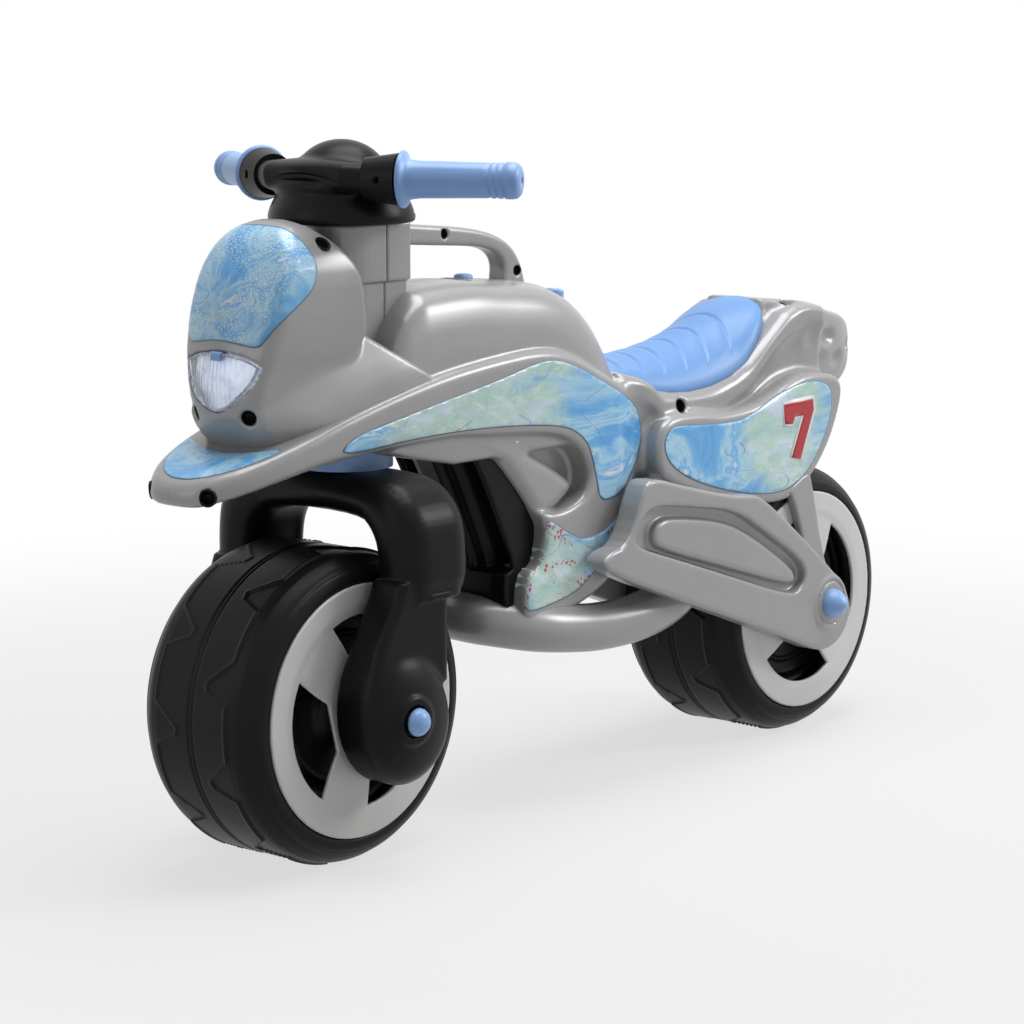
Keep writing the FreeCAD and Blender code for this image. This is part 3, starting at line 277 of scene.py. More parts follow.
def artwork(name, centre, leafy, red=0.0, spots=0.0):
    """Printed film: swirls of sky, foam and leaf green, thin ink lines and a dark outline.

    centre is where the leaf green gathers and leafy how far it spreads, both in metres.
    red and spots are how strongly red drops and white dots show.
    """
    finish = Finish(name, Roughness=0.3)
    finish.set(**{"Coat Weight": 0.25})
    place = finish.place()
    stretch = finish.node("ShaderNodeMapping", None, {"Vector": place, "Scale": (0.55, 1.0, 1.25)})
    swirl = finish.noise(17.0, 5.0, stretch, 0.62, 1.6)
    water = finish.ramp(swirl, [(0.30, DEEP_SKY), (0.44, MID_SKY), (0.54, PALE_SKY),
                                (0.60, MID_SKY), (0.68, FOAM), (0.80, PALE_SKY)])
    away = finish.node("ShaderNodeVectorMath", {"operation": "DISTANCE"}, {0: place, 1: centre}, 1)
    wobble = finish.noise(24.0, 4.0, stretch, 0.6, 0.8)
    near = 1 - (away / leafy + (wobble - 0.5) * 1.6).over(0.75, 0.5)
    fronds = finish.noise(40.0, 5.0, stretch, 0.6, 1.0)
    green = finish.ramp(fronds, [(0.35, LEAF), (0.5, STRAW), (0.64, FOAM)])
    print_colour = finish.mix(near * 0.62, water, green)
    splash = finish.noise(75.0, 6.0, place, 0.75, 1.2)
    print_colour = finish.mix(splash.over(0.66, 0.05) * 0.8, print_colour, FOAM)
    veins = finish.noise(11.0, 1.0, stretch, 0.4, 1.0)
    off_vein = finish.node("ShaderNodeMath", {"operation": "ABSOLUTE"}, {0: veins - 0.5})
    line = 1 - off_vein.over(0.0022, 0.002)
    broken = finish.noise(22.0, 1.0).over(0.46, 0.06)
    print_colour = finish.mix(line * broken * 0.55, print_colour, INK)
    if spots:
        cells = finish.node("ShaderNodeTexVoronoi", None, {"Vector": place, "Scale": 560.0}, 0)
        dots = (1 - cells.over(0.32, 0.08)) * finish.noise(26.0, 4.0).over(0.50, 0.10)
        print_colour = finish.mix(dots * spots, print_colour, DOT_WHITE)
    if red:
        drops = finish.node("ShaderNodeTexVoronoi", None, {"Vector": place, "Scale": 260.0}, 0)
        beds = finish.noise(30.0, 4.0, place, 0.7, 1.5).over(0.55, 0.04)
        print_colour = finish.mix((1 - drops.over(0.42, 0.06)) * beds * red, print_colour, BERRY)
    rim = finish.node("ShaderNodeAttribute", {"attribute_name": "from_edge"}, output=2)
    print_colour = finish.mix(1 - rim.over(0.9, 0.5), print_colour, FILM_EDGE)
    finish.set(**{"Base Color": print_colour, "Roughness": 0.26 + 0.12 * swirl})
    finish.bump(finish.noise(500.0, 2.0), 0.00003)
    return finish.material


# ---------------------------------------------------------------- shapes as fields
class Outline:
    """A closed flat outline whose signed distance is read at points: negative inside."""

    def __init__(self, points, rounds=2):
        points = np.array(points, float)
        for _ in range(rounds):
            after = np.roll(points, -1, 0)
            points = np.stack([0.75 * points + 0.25 * after, 0.25 * points + 0.75 * after], 1)
            points = points.reshape(-1, 2)
        self.points = points

    def __call__(self, a, b):
        a, b = np.broadcast_arrays(np.asarray(a, float), np.asarray(b, float))
        nearest = np.full(a.shape, 1e9)
        odd = np.zeros(a.shape, bool)
        for (pa, pb), (qa, qb) in zip(self.points, np.roll(self.points, -1, 0)):
            ea, eb, wa, wb = qa - pa, qb - pb, a - pa, b - pb
            share = np.clip((wa * ea + wb * eb) / (ea * ea + eb * eb + 1e-12), 0, 1)
            nearest = np.minimum(nearest, (wa - ea * share) ** 2 + (wb - eb * share) ** 2)
            if abs(eb) > 1e-12:
                odd ^= ((pb > b) != (qb > b)) & (wa < ea * wb / eb)
        return np.where(odd, -1.0, 1.0) * np.sqrt(nearest)


def join(a, b, soft):
    """Union of two fields with a fillet."""
    share = np.clip(0.5 + 0.5 * (b - a) / soft, 0, 1)
    return b + (a - b) * share - soft * share * (1 - share)


def meet(a, b, soft):
    """Where two fields overlap, with a rounded edge."""
    return -join(-a, -b, soft)


def carve(a, b, soft):
    """The first field less the second, with a rounded lip."""
    return meet(a, -b, soft)


def ball(u, y, z, centre, radii):
    """Field of an ellipsoid, close to a true distance near its skin."""
    away = [(c - m) / r for c, m, r in zip((u, y, z), centre, radii)]
    return (np.sqrt(sum(a * a for a in away)) - 1) * min(radii)


def table(x, rows):
    """Reads a list of (place, value) pairs, smoothly between them and with no overshoot."""
    places, values = (np.array(column, float) for column in zip(*sorted(rows)))
    step = np.diff(places)
    rise = np.diff(values) / step
    slope = np.concatenate([rise[:1], np.zeros(len(rise) - 1), rise[-1:]])
    left, right = rise[:-1], rise[1:]
    same = left * right > 0
    slope[1:-1] = np.where(same, 2 * left * right / np.where(same, left + right, 1), 0)
    x = np.clip(x, places[0], places[-1])
    i = np.clip(np.searchsorted(places, x, side="right") - 1, 0, len(step) - 1)
    t = (x - places[i]) / step[i]
    low, high, enter, leave = values[i], values[i + 1], slope[i] * step[i], slope[i + 1] * step[i]
    bend, drop = 2 * (low - high) + enter + leave, 3 * (high - low) - 2 * enter - leave
    return ((bend * t + drop) * t + enter) * t + low


def to_frame(points):
    """Millimetres as (u, y, z) to metres in the row frame."""
    return (np.asarray(points, float) + np.array([FRONT_X, 0, 0])) * MM


def new_object(name, data):
    """An object at the origin, linked to the scene."""
    made = bpy.data.objects.new(name, data)
    bpy.context.scene.collection.objects.link(made)
    return made


def make_object(name, points, faces, material):
    """A smooth-shaded object with these points, in metres, and faces."""
    mesh = bpy.data.meshes.new(name)
    faces = np.asarray(faces)
    sides = faces.shape[1]
    mesh.vertices.add(len(points))
    mesh.vertices.foreach_set("co", np.asarray(points, np.float32).ravel())
    mesh.loops.add(faces.size)
    mesh.loops.foreach_set("vertex_index", faces.astype(np.int32).ravel())
    mesh.polygons.add(len(faces))
    mesh.polygons.foreach_set("loop_start", np.arange(0, faces.size, sides, dtype=np.int32))
    mesh.polygons.foreach_set("use_smooth", np.full(len(faces), True))
    mesh.update(calc_edges=True)
    mesh.validate()
    mesh.materials.append(material)
    return new_object(name, mesh)


CORNERS = np.array([(i, j, k) for i in (0, 1) for j in (0, 1) for k in (0, 1)])
MOST_MOVE = 0.45
PROBE = 0.25


def skin(field, low, high, step):
    """Points and four-sided faces of the surface where a field is zero."""
    step *= COARSE
    axes = [np.arange(a, b + step, step) for a, b in zip(low, high)]
    shape = [len(a) for a in axes]
    values = np.broadcast_to(field(*np.meshgrid(*axes, indexing="ij", sparse=True)), shape)
    inside = values < 0
    cells_shape = [n - 1 for n in shape]
    count = np.zeros(cells_shape, np.int8)
    for i, j, k in CORNERS:
        count += inside[i:i + cells_shape[0], j:j + cells_shape[1], k:k + cells_shape[2]]
    cells = np.argwhere((count > 0) & (count < 8))
    number = np.full(cells_shape, -1)
    number[tuple(cells.T)] = np.arange(len(cells))
    at = np.stack([values[tuple((cells + c).T)] for c in CORNERS], 1)
    total, hits = np.zeros((len(cells), 3)), np.zeros(len(cells))
    for a in range(8):
        for b in range(a + 1, 8):
            if abs(CORNERS[a] - CORNERS[b]).sum() != 1:
                continue
            cross = (at[:, a] < 0) != (at[:, b] < 0)
            share = at[:, a] / np.where(cross, at[:, a] - at[:, b], 1)
            spot = CORNERS[a] + share[:, None] * (CORNERS[b] - CORNERS[a])
            total += np.where(cross[:, None], spot, 0)
            hits += cross
    points = np.array(low) + step * (cells + total / hits[:, None])
    reach = MOST_MOVE * step
    for _ in range(2):
        here = field(*points.T)
        slope = np.stack([field(*(points + PROBE * e).T) - here for e in np.eye(3)], 1) / PROBE
        move = (here / np.maximum((slope ** 2).sum(1), 0.25))[:, None] * slope
        points -= np.clip(move, -reach, reach)
    faces = []
    for axis in range(3):
        moved = np.moveaxis(inside, axis, 0)
        lower, upper = moved[:-1], moved[1:]
        at_edge = np.argwhere(lower != upper)
        last = np.array(moved.shape[1:]) - 1
        keep = ((at_edge[:, 1:] > 0) & (at_edge[:, 1:] < last)).all(1)
        i, j, k = at_edge[keep].T
        cell = np.moveaxis(number, axis, 0)
        ring = [cell[i, j - 1, k - 1], cell[i, j, k - 1], cell[i, j, k], cell[i, j - 1, k]]
        quad = np.stack(ring, 1)
        turned = lower[i, j, k] == (axis == 1)
        faces.append(np.where(turned[:, None], quad[:, ::-1], quad))
    return points, np.concatenate(faces)


def solid(name, field, low, high, step, material):
    """A closed piece from a field."""
    points, faces = skin(field, low, high, step)
    return make_object(name, to_frame(points), faces, material)


def halves(name, field, low, high, step, material):
    """A left and a right piece that meet at the centre plane, each closed there."""
    points, faces = skin(field, (low[0], -3 * step, low[2]), high, step)
    left = make_object(name + "_left", to_frame(points), faces, material)
    mesh = bmesh.new()
    mesh.from_mesh(left.data)
    every = mesh.verts[:] + mesh.edges[:] + mesh.faces[:]
    bmesh.ops.bisect_plane(mesh, geom=every, dist=1e-6, plane_co=(0, 0.05 * MM, 0),
                           plane_no=(0, 1, 0), clear_inner=True)
    rim = [e for e in mesh.edges if e.is_boundary]
    for edge in rim:
        edge.smooth = False
    for face in bmesh.ops.holes_fill(mesh, edges=rim, sides=0)["faces"]:
        face.smooth = False
    mesh.to_mesh(left.data)
    mesh.free()
    return left, mirror(left, name + "_right")


def mirror(piece, name):
    """A copy on the other side of the centre plane, its faces turned the right way out."""
    mesh = piece.data.copy()
    mesh.name = name
    mesh.transform(Matrix.Scale(-1, 4, (0, 1, 0)))
    mesh.flip_normals()
    return new_object(name, mesh)


def put(piece, body, slot, *nodes):
    """The piece rides on a body and stands for those nodes, which it hides; the slot is not used.
    """
    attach(piece, body)
    if nodes:
        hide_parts(*nodes)
    return piece


def moulding(name, field, low, high, step, body_name, slot, *nodes):
    """A closed piece from a field, put on a body with a slot's finish."""
    return put(solid(name, field, low, high, step, FINISHES[slot]), body_name, slot, *nodes)


def lathe(name, rows, origin, direction, material, segments=96):
    """A turned piece: rows of (distance along the axis, radius), in millimetres."""
    along = Vector(direction).normalized()
    guide = Vector((0, 0, 1)) if abs(along.z) < 0.9 else Vector((1, 0, 0))
    across = along.cross(guide).normalized()
    other = along.cross(across)
    angles = np.linspace(0, 2 * math.pi, segments, endpoint=False)
    ring = np.outer(np.cos(angles), across) + np.outer(np.sin(angles), other)
    rows = np.array(rows, float)
    spine = np.array(origin) + rows[:, None, 0, None] * np.array(along)
    points = spine + rows[:, None, 1, None] * ring
    return wrap(name, points, material)


def wrap(name, points, material, closed=False):
    """A skin over rings of points; the first and last rings close to a pole, or meet."""
    rings, segments = points.shape[:2]
    flat = points.reshape(-1, 3)
    steps = np.arange(rings if closed else rings - 1)
    i, j = np.meshgrid(steps, np.arange(segments), indexing="ij")
    a, b = (i * segments + j).ravel(), (i * segments + (j + 1) % segments).ravel()
    c = (((i + 1) % rings) * segments + (j + 1) % segments).ravel()
    d = (((i + 1) % rings) * segments + j).ravel()
    made = make_object(name, to_frame(flat), np.stack([a, d, c, b], 1), material)
    mesh = bmesh.new()
    mesh.from_mesh(made.data)
    bmesh.ops.remove_doubles(mesh, verts=mesh.verts[:], dist=1e-6)
    bmesh.ops.recalc_face_normals(mesh, faces=mesh.faces[:])
    mesh.to_mesh(made.data)
    mesh.free()
    return made


# ---------------------------------------------------------------- body shells
TANK_TOP = [
    (-40, 350), (-48, 372), (-58, 396), (-70, 412), (-92, 425), (-143, 427), (-190, 423),
    (-228, 420), (-252, 416), (-272, 409.5), (-290, 399), (-306, 385), (-320, 367), (-330, 350),
    (-337, 335), (-340, 320)]
TANK = Outline(TANK_TOP + [(-340, 290), (-40, 290)], 1)
TANK_HALF = [
    (-3, 6), (0, 16), (2, 27), (5, 35), (11, 42.5), (20, 47), (36, 50.5), (56, 52), (90, 52)]
FAIRING = Outline([
    (138, 289), (132, 299), (112, 307), (60, 324), (0, 341), (-84, 359), (-150, 367), (-216, 371),
    (-254, 361), (-286, 345), (-340, 322), (-356, 302), (-356, 272), (-346, 238), (-322, 196),
    (-288, 170), (-238, 155), (-193, 150), (-188, 168), (-193, 195), (-209, 199), (-214, 219),
    (-214, 234), (-191, 261), (-156, 296), (-119, 312), (-60, 312), (16, 308), (58, 302),
    (108, 289), (130, 281)])
BEAK_PLAN = Outline([
    (138, 0), (136, 14), (129, 26), (118, 36), (104, 45), (84, 52), (58, 57), (20, 60), (-10, 60),
    (-400, 60), (-400, -60), (20, -60), (58, -57), (84, -52), (104, -45), (118, -36), (129, -26),
    (136, -14)], 1)
HOOK = Outline([(-90, 300), (-100, 311), (-180, 307), (-232, 301), (-258, 288), (-270, 268),
                (-265, 250), (-242, 241), (-222, 240), (-205, 244), (-160, 284)])
BULGE = Outline([(-120, 307), (-173, 303), (-216, 284), (-247, 267), (-258, 257), (-242, 244),
                 (-226, 238), (-213, 232), (-191, 261), (-156, 296)])
REAR = Outline([
    (-346, 262), (-344, 285), (-358, 303), (-400, 303), (-439, 297), (-496, 302), (-545, 322),
    (-590, 320), (-609, 311), (-608, 290), (-587, 250), (-547, 216), (-502, 212), (-411, 228),
    (-357, 248)])
SEAT_RIM = [
    (-310, 345), (-335, 341), (-350, 336), (-368, 323), (-424, 321), (-480, 333), (-522, 364),
    (-549, 380), (-572, 386), (-600, 381), (-630, 372)]
SADDLE = Outline([(-306, 346), (-350, 333), (-368, 321), (-424, 318), (-480, 330), (-522, 359),
                  (-550, 379), (-580, 380), (-600, 376), (-600, 290), (-540, 240), (-330, 240)], 1)
SADDLE_HALF = [
    (-80, 50), (-55, 49), (-42, 48), (-30, 51), (-19, 57), (-11, 57.5), (-3, 54), (4, 51)]
TAIL = Outline([
    (-530, 386), (-560, 384), (-590, 378), (-620, 371), (-648, 365), (-664, 360), (-675, 346),
    (-675, 325), (-664, 308), (-638, 297), (-590, 296), (-545, 330)], 1)
TAIL_HALF = [(-676, 27), (-662, 34), (-640, 40), (-600, 46), (-575, 48), (-560, 43), (-540, 32)]
TAIL_TOP = [(-530, 386), (-560, 384), (-590, 378), (-620, 371), (-648, 365), (-676, 353)]


FAIRING_HALF, HOOK_FLOOR, BULGE_HALF, REAR_HALF = 60, 37, 53, 68
TAIL_DENTS = (((-588, 50, 350), (16, 9, 12)), ((-622, 46, 347), (13, 8, 8)),
              ((-606, 49, 329), (15, 7, 7)), ((-641, 42, 326), (11, 7, 8)))


def tank(u, y, z):
    """The tank, its rear edge rounded in plan."""
    swept = u - 0.009 * y * y * np.clip((-200 - u) / 60, 0, 1)
    depth = table(swept, TANK_TOP) - z
    return meet(TANK(u, z), y - table(depth, TANK_HALF), 5)


def fairing(u, y, z):
    """The side fairing with its beak."""
    return meet(meet(FAIRING(u, z), BEAK_PLAN(u, y), 9), y - FAIRING_HALF, 5)


def saddle(u, y, z):
    """The body under and round the seat, behind the tank."""
    half = table(z - table(u, SEAT_RIM), SADDLE_HALF)
    front = table(u, [(-600, 0), (-520, 2), (-400, 0), (-345, 0), (-325, 3), (-308, 10)])
    return meet(SADDLE(u, z), y - half + front, 7)


def tail(u, y, z):
    """The tail block, with moulded dents in its sides."""
    half = table(u, TAIL_HALF)
    depth = table(u, TAIL_TOP) - z
    half = half - table(depth, [(-2, 6), (1, 3), (6, 1), (20, 0), (32, 0), (60, 4)])
    block = meet(TAIL(u, z), y - half, 4)
    for centre, radii in TAIL_DENTS:
        block = carve(block, ball(u, y, z, centre, radii), 4)
    return block


def both_sides(seats):
    """Each (place, direction) seat, and the same on the other side."""
    return [((c[0], s * c[1], c[2]), (d[0], s * d[1], d[2])) for c, d in seats for s in (1, -1)]


def shade_liners(name, pits):
    """Near-black liners in the screw recesses of both sides, as one mesh: painted shade where the
    silver recesses are only in shadow.
    """
    mesh = bmesh.new()
    for centre, direction, radius, depth in pits:
        rows = [(-depth - 0.8, 0), (-depth - 0.8, radius + 1.5), (-1.5, radius + 1.5),
                (-1.0, radius + 0.5), (-1.7, radius), (-2.8, radius - 0.5),
                (0.5 - depth, radius - 0.6), (0.5 - depth, 0)]
        for place, facing in both_sides([(centre, direction)]):
            liner = lathe("liner", rows, place, facing, PIT_SHADE, 40)
            mesh.from_mesh(liner.data)
            bpy.data.objects.remove(liner)
    data = bpy.data.meshes.new(name)
    mesh.to_mesh(data)
    mesh.free()
    data.materials.append(PIT_SHADE)
    return put(new_object(name, data), "root", "black_plastic")


def screw_pits(shape, u, y, z, pits):
    """Screw recesses sunk along their own directions, each with a wide bevelled mouth."""
    for centre, direction, radius, depth in pits:
        along = np.array(direction) / np.linalg.norm(direction)
        du, dy, dz = u - centre[0], y - centre[1], z - centre[2]
        height = du * along[0] + dy * along[1] + dz * along[2]
        away = np.sqrt(np.maximum(du * du + dy * dy + dz * dz - height ** 2, 1e-9))
        cone = away - radius - 0.5 * np.clip(height + 2.5, 0, 12)
        shape = carve(shape, meet(cone, -height - depth, 0.5), 1.0)
    return shape


def from_head(u, y):
    """Distance from the steering axis."""
    return np.sqrt((u - STEER_U) ** 2 + y ** 2)


# Screw recesses: mouth, direction outwards, radius and depth.
BODY_PITS = [
    ((-388, 57, 309), (0.1, 1, 0.3), 5.2, 10), ((-562, 34, 379), (0.1, 0.5, 1), 5.0, 9),
    ((-664, 30, 335), (-0.8, 0.8, 0.1), 4.6, 9), ((126, 30, 291), (1, 0.6, -0.05), 5.2, 10),
    ((-215, 44, 151), (0, 0.3, -1), 4, 8)]


def body(u, y, z):
    """The whole body, with the hollow behind the side film and room for the steering head."""
    y = abs(y)
    hull = carve(fairing(u, y, z), meet(HOOK(u, z), HOOK_FLOOR - y, 6), 7)
    hull = join(hull, meet(meet(BULGE(u, z), y - BULGE_HALF, 13), FAIRING(u, z), 2), 3)
    hull = join(hull, meet(REAR(u, z), y - REAR_HALF, 7), 7)
    hull = join(hull, saddle(u, y, z), 9)
    hull = join(hull, tail(u, y, z), 7)
    hull = join(hull, tank(u, y, z), 4)
    head_room = meet(from_head(u, y) - 30, 300 - z, 2)
    hull = carve(hull, meet(head_room, u + 78, 2), 1.5)
    return screw_pits(hull, u, y, z, BODY_PITS)


body_left, body_right = halves("body", body, (-692, 0, 142), (146, 74, 436), 2.0,
                               FINISHES["body_silver"])
# Painted shade in the body's screw recesses.
shade_liners("body_screw_wells", BODY_PITS)
put(body_left, "root", "body_silver", "body_left_shell")
put(body_right, "root", "body_silver", "body_right_shell")
PANEL_U, PANEL_REACH, PANEL_HALF = -233, 62, 20.5


def panel(u, y, z):
    """A thin plate bent over the tank."""
    depth = tank(u, abs(y), z)
    sheet = np.maximum(depth - 1.0, -depth - 2.5)
    plan = meet(abs(y) - PANEL_HALF, abs(u - PANEL_U) - PANEL_REACH, 3)
    return meet(sheet, plan, 0.6)


moulding("sound_panel_plate", panel, (-300, -24, 390), (-168, 24, 428), 1.2,
         "root", "body_silver", "sound_panel")

# ---------------------------------------------------------------- nose
NOSE_FRONT = [
    (296, 46), (308, 60), (318, 70), (327, 78), (337, 84), (346, 87.5), (365, 87.5), (386, 85),
    (400, 82), (415, 78.5), (430, 74), (443, 69), (456, 62), (465, 56), (473, 48), (479, 38),
    (483, 26)]
BULB = Outline([
    (30, 484), (60, 482), (100, 478), (130, 440), (130, 352), (40, 352), (-8, 372), (-18, 386),
    (-25, 400), (-21, 413), (-20, 428), (-17, 443), (-9, 456), (4, 468), (16, 477)])
BULB_HALF = [
    (350, 34), (364, 38), (376, 41), (386, 44.5), (400, 47), (415, 48.3), (430, 48), (443, 46.5),
    (454, 43.5), (464, 38), (471, 32), (477, 24), (481, 14), (484, 4)]
WING = Outline([
    (56, 300), (100, 292), (130, 310), (130, 372), (90, 388), (40, 396), (-12, 403), (-24, 400),
    (-36, 391), (-57, 378), (-92, 358), (-88, 350), (-40, 336), (16, 322), (44, 310)])
WING_HALF = [(-96, 55), (-60, 55), (-20, 53), (20, 50.5), (50, 48), (77, 44), (95, 40)]
LENS = Outline([(-37, 382), (-20, 388), (0, 389.5), (20, 388), (37, 382), (37.5, 378), (31, 365),
                (16, 351), (4, 346), (-4, 346), (-16, 351), (-31, 365), (-37.5, 378)], 1)


def nose_plain(u, y, z):
    """The closed nose: a bulb over a wing, behind one blunt front face."""
    front = 0.93 * (u - table(z, NOSE_FRONT) + 0.0047 * y * y)
    bulb = meet(BULB(u, z), meet(y - table(z, BULB_HALF), front, 9), 5)
    height = z - table(u, [(-84, 355), (0, 338), (60, 318), (88, 306)])
    lean = table(height, [(0, 0), (12, 1.5), (26, 5), (42, 11), (60, 19), (80, 27)])
    chin = table(z, [(296, 26), (318, 31), (335, 38), (350, 46), (370, 60)])
    side = meet(y - table(u, WING_HALF) + lean, y - chin - 0.35 * np.clip(70 - u, 0, 60), 8)
    wing = meet(WING(u, z), meet(side, front, 9), 4)
    return join(bulb, wing, 4.5)


LENS_BACK = 60
NOSE_PITS = [((81, 27, 343), (1, 0.5, -0.25), 5.2, 10), ((14, 38, 466), (0.1, 0.9, 1), 5.2, 10)]


def nose(u, y, z):
    """The nose with the socket of the lens and room for the steering head."""
    side, y = y, abs(y)
    shell = nose_plain(u, y, z)
    socket = np.maximum(LENS(side, z) - 0.4, LENS_BACK - u)
    shell = np.maximum(shell, np.minimum(-socket, shell + 9))
    shell = carve(shell, meet(from_head(u, y) - 31, u - LENS_BACK, 1), 1.5)
    shell = np.maximum(shell, z - 475.2 - 6 * np.clip((u - 11) / 8, 0, 1))
    return screw_pits(shell, u, y, z, NOSE_PITS)


nose_cowl = moulding("nose_cowl_skin", nose, (-100, -62, 296), (120, 62, 486), 1.9,
                     "root", "body_silver", "nose_cowl")
# Painted shade in the nose's screw recesses.
shade_liners("nose_screw_shade_liners", NOSE_PITS)
FLUTE_PITCH = 3.2


def lens(u, y, z):
    """The clear cover, following the nose, with flutes inside its lower part."""
    skin_depth = nose_plain(u, abs(y), z)
    flutes = 0.5 * np.abs(((y / FLUTE_PITCH) % 1) - 0.5) * np.clip((384 - z) / 10, 0, 1)
    sheet = np.maximum(skin_depth + 0.3, -(skin_depth + 2.6 + flutes))
    return np.maximum(sheet, np.maximum(LENS(y, z) + 0.5, LENS_BACK - u))


def bowl(u, y, z):
    """The reflector behind the cover."""
    skin_depth = nose_plain(u, abs(y), z)
    sheet = np.maximum(skin_depth + 6.8, -(skin_depth + 8.6))
    return np.maximum(sheet, np.maximum(LENS(y, z) + 0.4, LENS_BACK - u))


def lens_frame(u, y, z):
    """The rim round the cover."""
    skin_depth = nose_plain(u, abs(y), z)
    edge = LENS(y, z)
    ring = meet(edge + 0.4, -(edge + 2.6), 0.6)
    band = np.maximum(np.maximum(skin_depth - 0.3, -(skin_depth + 5)), LENS_BACK - u)
    return meet(ring, band, 0.8)


LAMP_BOX = ((48, -42, 340), (94, 42, 396))
moulding("headlight_cover", lens, *LAMP_BOX, 1.1, "root", "lens_clear", "headlight_lens")
moulding("headlight_bowl", bowl, *LAMP_BOX, 1.1,
         "root", "reflector", "headlight_reflector", "headlight_lamp")
moulding("headlight_rim", lens_frame, *LAMP_BOX, 1.0, "root", "lens_clear")


def tab(u, y, z):
    """The small blue tab over the cover."""
    skin_depth = nose_plain(u, abs(y), z)
    block = meet(meet(abs(y) - 5, abs(z - 386.3) - 3.2, 1.2), skin_depth - 1.4, 1)
    return np.maximum(block, -(skin_depth + 5))


moulding("headlight_tab_cap", tab, (76, -8, 380), (94, 8, 393), 0.6,
         "root", "blue_plastic", "headlight_tab")

# ---------------------------------------------------------------- engine covers
ENGINE = Outline([
    (-112, 309), (-126, 298), (-140, 277), (-152, 254), (-166, 226), (-178, 200), (-177, 170),
    (-192, 150), (-236, 152), (-238, 309)], 1)


ENGINE_BACK = [(0, 0), (9, 0), (13, 6), (20, 8), (24, 14), (29, 27), (35, 27), (39, 15), (44, 12)]
BULGE_LINE = [(196, -217), (219, -219), (234, -219), (261, -196), (296, -161), (311, -124)]


def engine(u, y, z):
    """The black cover: stepped in plan above its seam, narrower where the body overlaps it."""
    y = abs(y)
    above = np.clip((z - 194) / 4, 0, 1)
    back = table(y, ENGINE_BACK)
    flare = table(y, [(0, 0), (30, 0), (44, 2)])
    behind = table(z, BULGE_LINE) - u
    half = 45 - 12 * np.clip(behind / 6, 0, 1) * above
    block = meet(ENGINE(u + back * above + flare * (1 - above), z), y - half, 3)
    groove = meet(abs(z - 197) - 1.2, ENGINE(u + 2.5, z) * -1 - 1, 0.5)
    return carve(block, groove, 1)


engine_left, engine_right = halves("engine", engine, (-240, 0, 146), (-104, 50, 312), 1.6,
                                   FINISHES["black_plastic"])
put(engine_left, "root", "black_plastic", "engine_cover_left")
put(engine_right, "root", "black_plastic", "engine_cover_right")

# ---------------------------------------------------------------- steering head
HEAD_R = 28
HEAD_FRONT = [(STEER_U + HEAD_R * math.cos(a), HEAD_R * math.sin(a))
              for a in np.radians(np.arange(-90, 91, 12))]
HEAD_PLAN = Outline(HEAD_FRONT + [(-90, 28), (-93, 24), (-93, -24), (-90, -28)], 0)


def head(u, y, z):
    """The collar and the tube under it, with a seam at the back."""
    plan = HEAD_PLAN(u, y)
    collar = meet(plan, abs(z - 453.3) - 22, 2.2)
    tube = meet(plan + 3, abs(z - 380) - 54, 1.5)
    both = join(collar, tube, 1.2)
    seam = meet(abs(u + 64.5) - 0.5, 20 - abs(y), 0.3)
    return carve(both, seam, 0.8)


moulding("steering_head_skin", head, (-98, -33, 322), (-12, 33, 480), 1.5,
         "root", "body_silver", "steering_head_front", "steering_head_rear")

# ---------------------------------------------------------------- carry handle
HANDLE_TOP = [
    (-86, 474), (-121, 470), (-170, 466), (-205, 460), (-228, 450), (-241, 435), (-247, 417),
    (-248, 408)]
HANDLE_UNDER = [
    (-220, 408), (-219, 419), (-221, 434), (-212, 444), (-195, 449), (-170, 451), (-124, 454),
    (-86, 457)]
HANDLE = Outline(HANDLE_TOP + HANDLE_UNDER)
HANDLE_PITS = [((-150, 9, 461.5), (0, 1, 0.1), 3.4, 6), ((-236, 9, 428), (0.2, 1, 0), 3.4, 6)]


def handle(u, y, z):
    bar = meet(HANDLE(u, z), abs(y) - 9.3, 5)
    return screw_pits(bar, u, abs(y), z, HANDLE_PITS)


moulding("carry_handle_bar", handle, (-256, -12, 404), (-80, 12, 480), 1.2,
         "root", "body_silver", "carry_handle")
# Painted shade in the handle's screw recesses.
shade_liners("handle_screw_shade_liners", HANDLE_PITS)

# ---------------------------------------------------------------- seat
SEAT_SIDE = [(-314, 0), (-315, 26), (-322, 40), (-345, 47), (-380, 49.5), (-424, 50), (-480, 50.3),
             (-512, 46), (-534, 33), (-547, 16), (-551, 0)]
SEAT_PLAN = Outline(SEAT_SIDE + [(u, -y) for u, y in SEAT_SIDE[-2:0:-1]], 1)
SEAT_EDGE = [
    (-314, 342), (-330, 338), (-345, 334), (-368, 328), (-400, 326), (-424, 327), (-452, 331),
    (-480, 339), (-502, 353), (-522, 367), (-546, 380), (-561, 382)]
SEAT_CREST = [
    (-314, 346), (-340, 348), (-380, 350), (-410, 353), (-440, 358), (-480, 369), (-510, 379),
    (-535, 385), (-552, 387), (-561, 386)]
SEAT_GROOVES = (-347, -376, -404, -433, -463, -494)


def seat(u, y, z):
    """The pad, crowned across, with curved cross grooves and soft rolls between them."""
    share = np.clip(1 - (y / 50) ** 2, 0, 1)
    plan = SEAT_PLAN(u, y)
    edge, crest = table(u, SEAT_EDGE), table(u, SEAT_CREST)
    top = edge + (crest - edge) * share ** 0.85
    lift = np.clip(-plan / 10, 0, 1)
    top = top - 3.5 * (1 - lift) ** 2
    hush = np.clip((-plan - 5) / 5, 0, 1)
    for line in SEAT_GROOVES:
        bend = line + 0.011 * y * y
        top = top - 1.9 * hush * np.exp(-((u - bend) / 1.9) ** 2)
        top = top + 0.7 * hush * np.exp(-((u - bend - 8) / 8.0) ** 2)
    return meet(meet((z - top) * 0.85, plan, 3.5), edge - 9 - z, 3)


moulding("seat_cushion", seat, (-566, -54, 312), (-308, 54, 394), 1.5,
         "root", "seat_blue", "seat_pad")

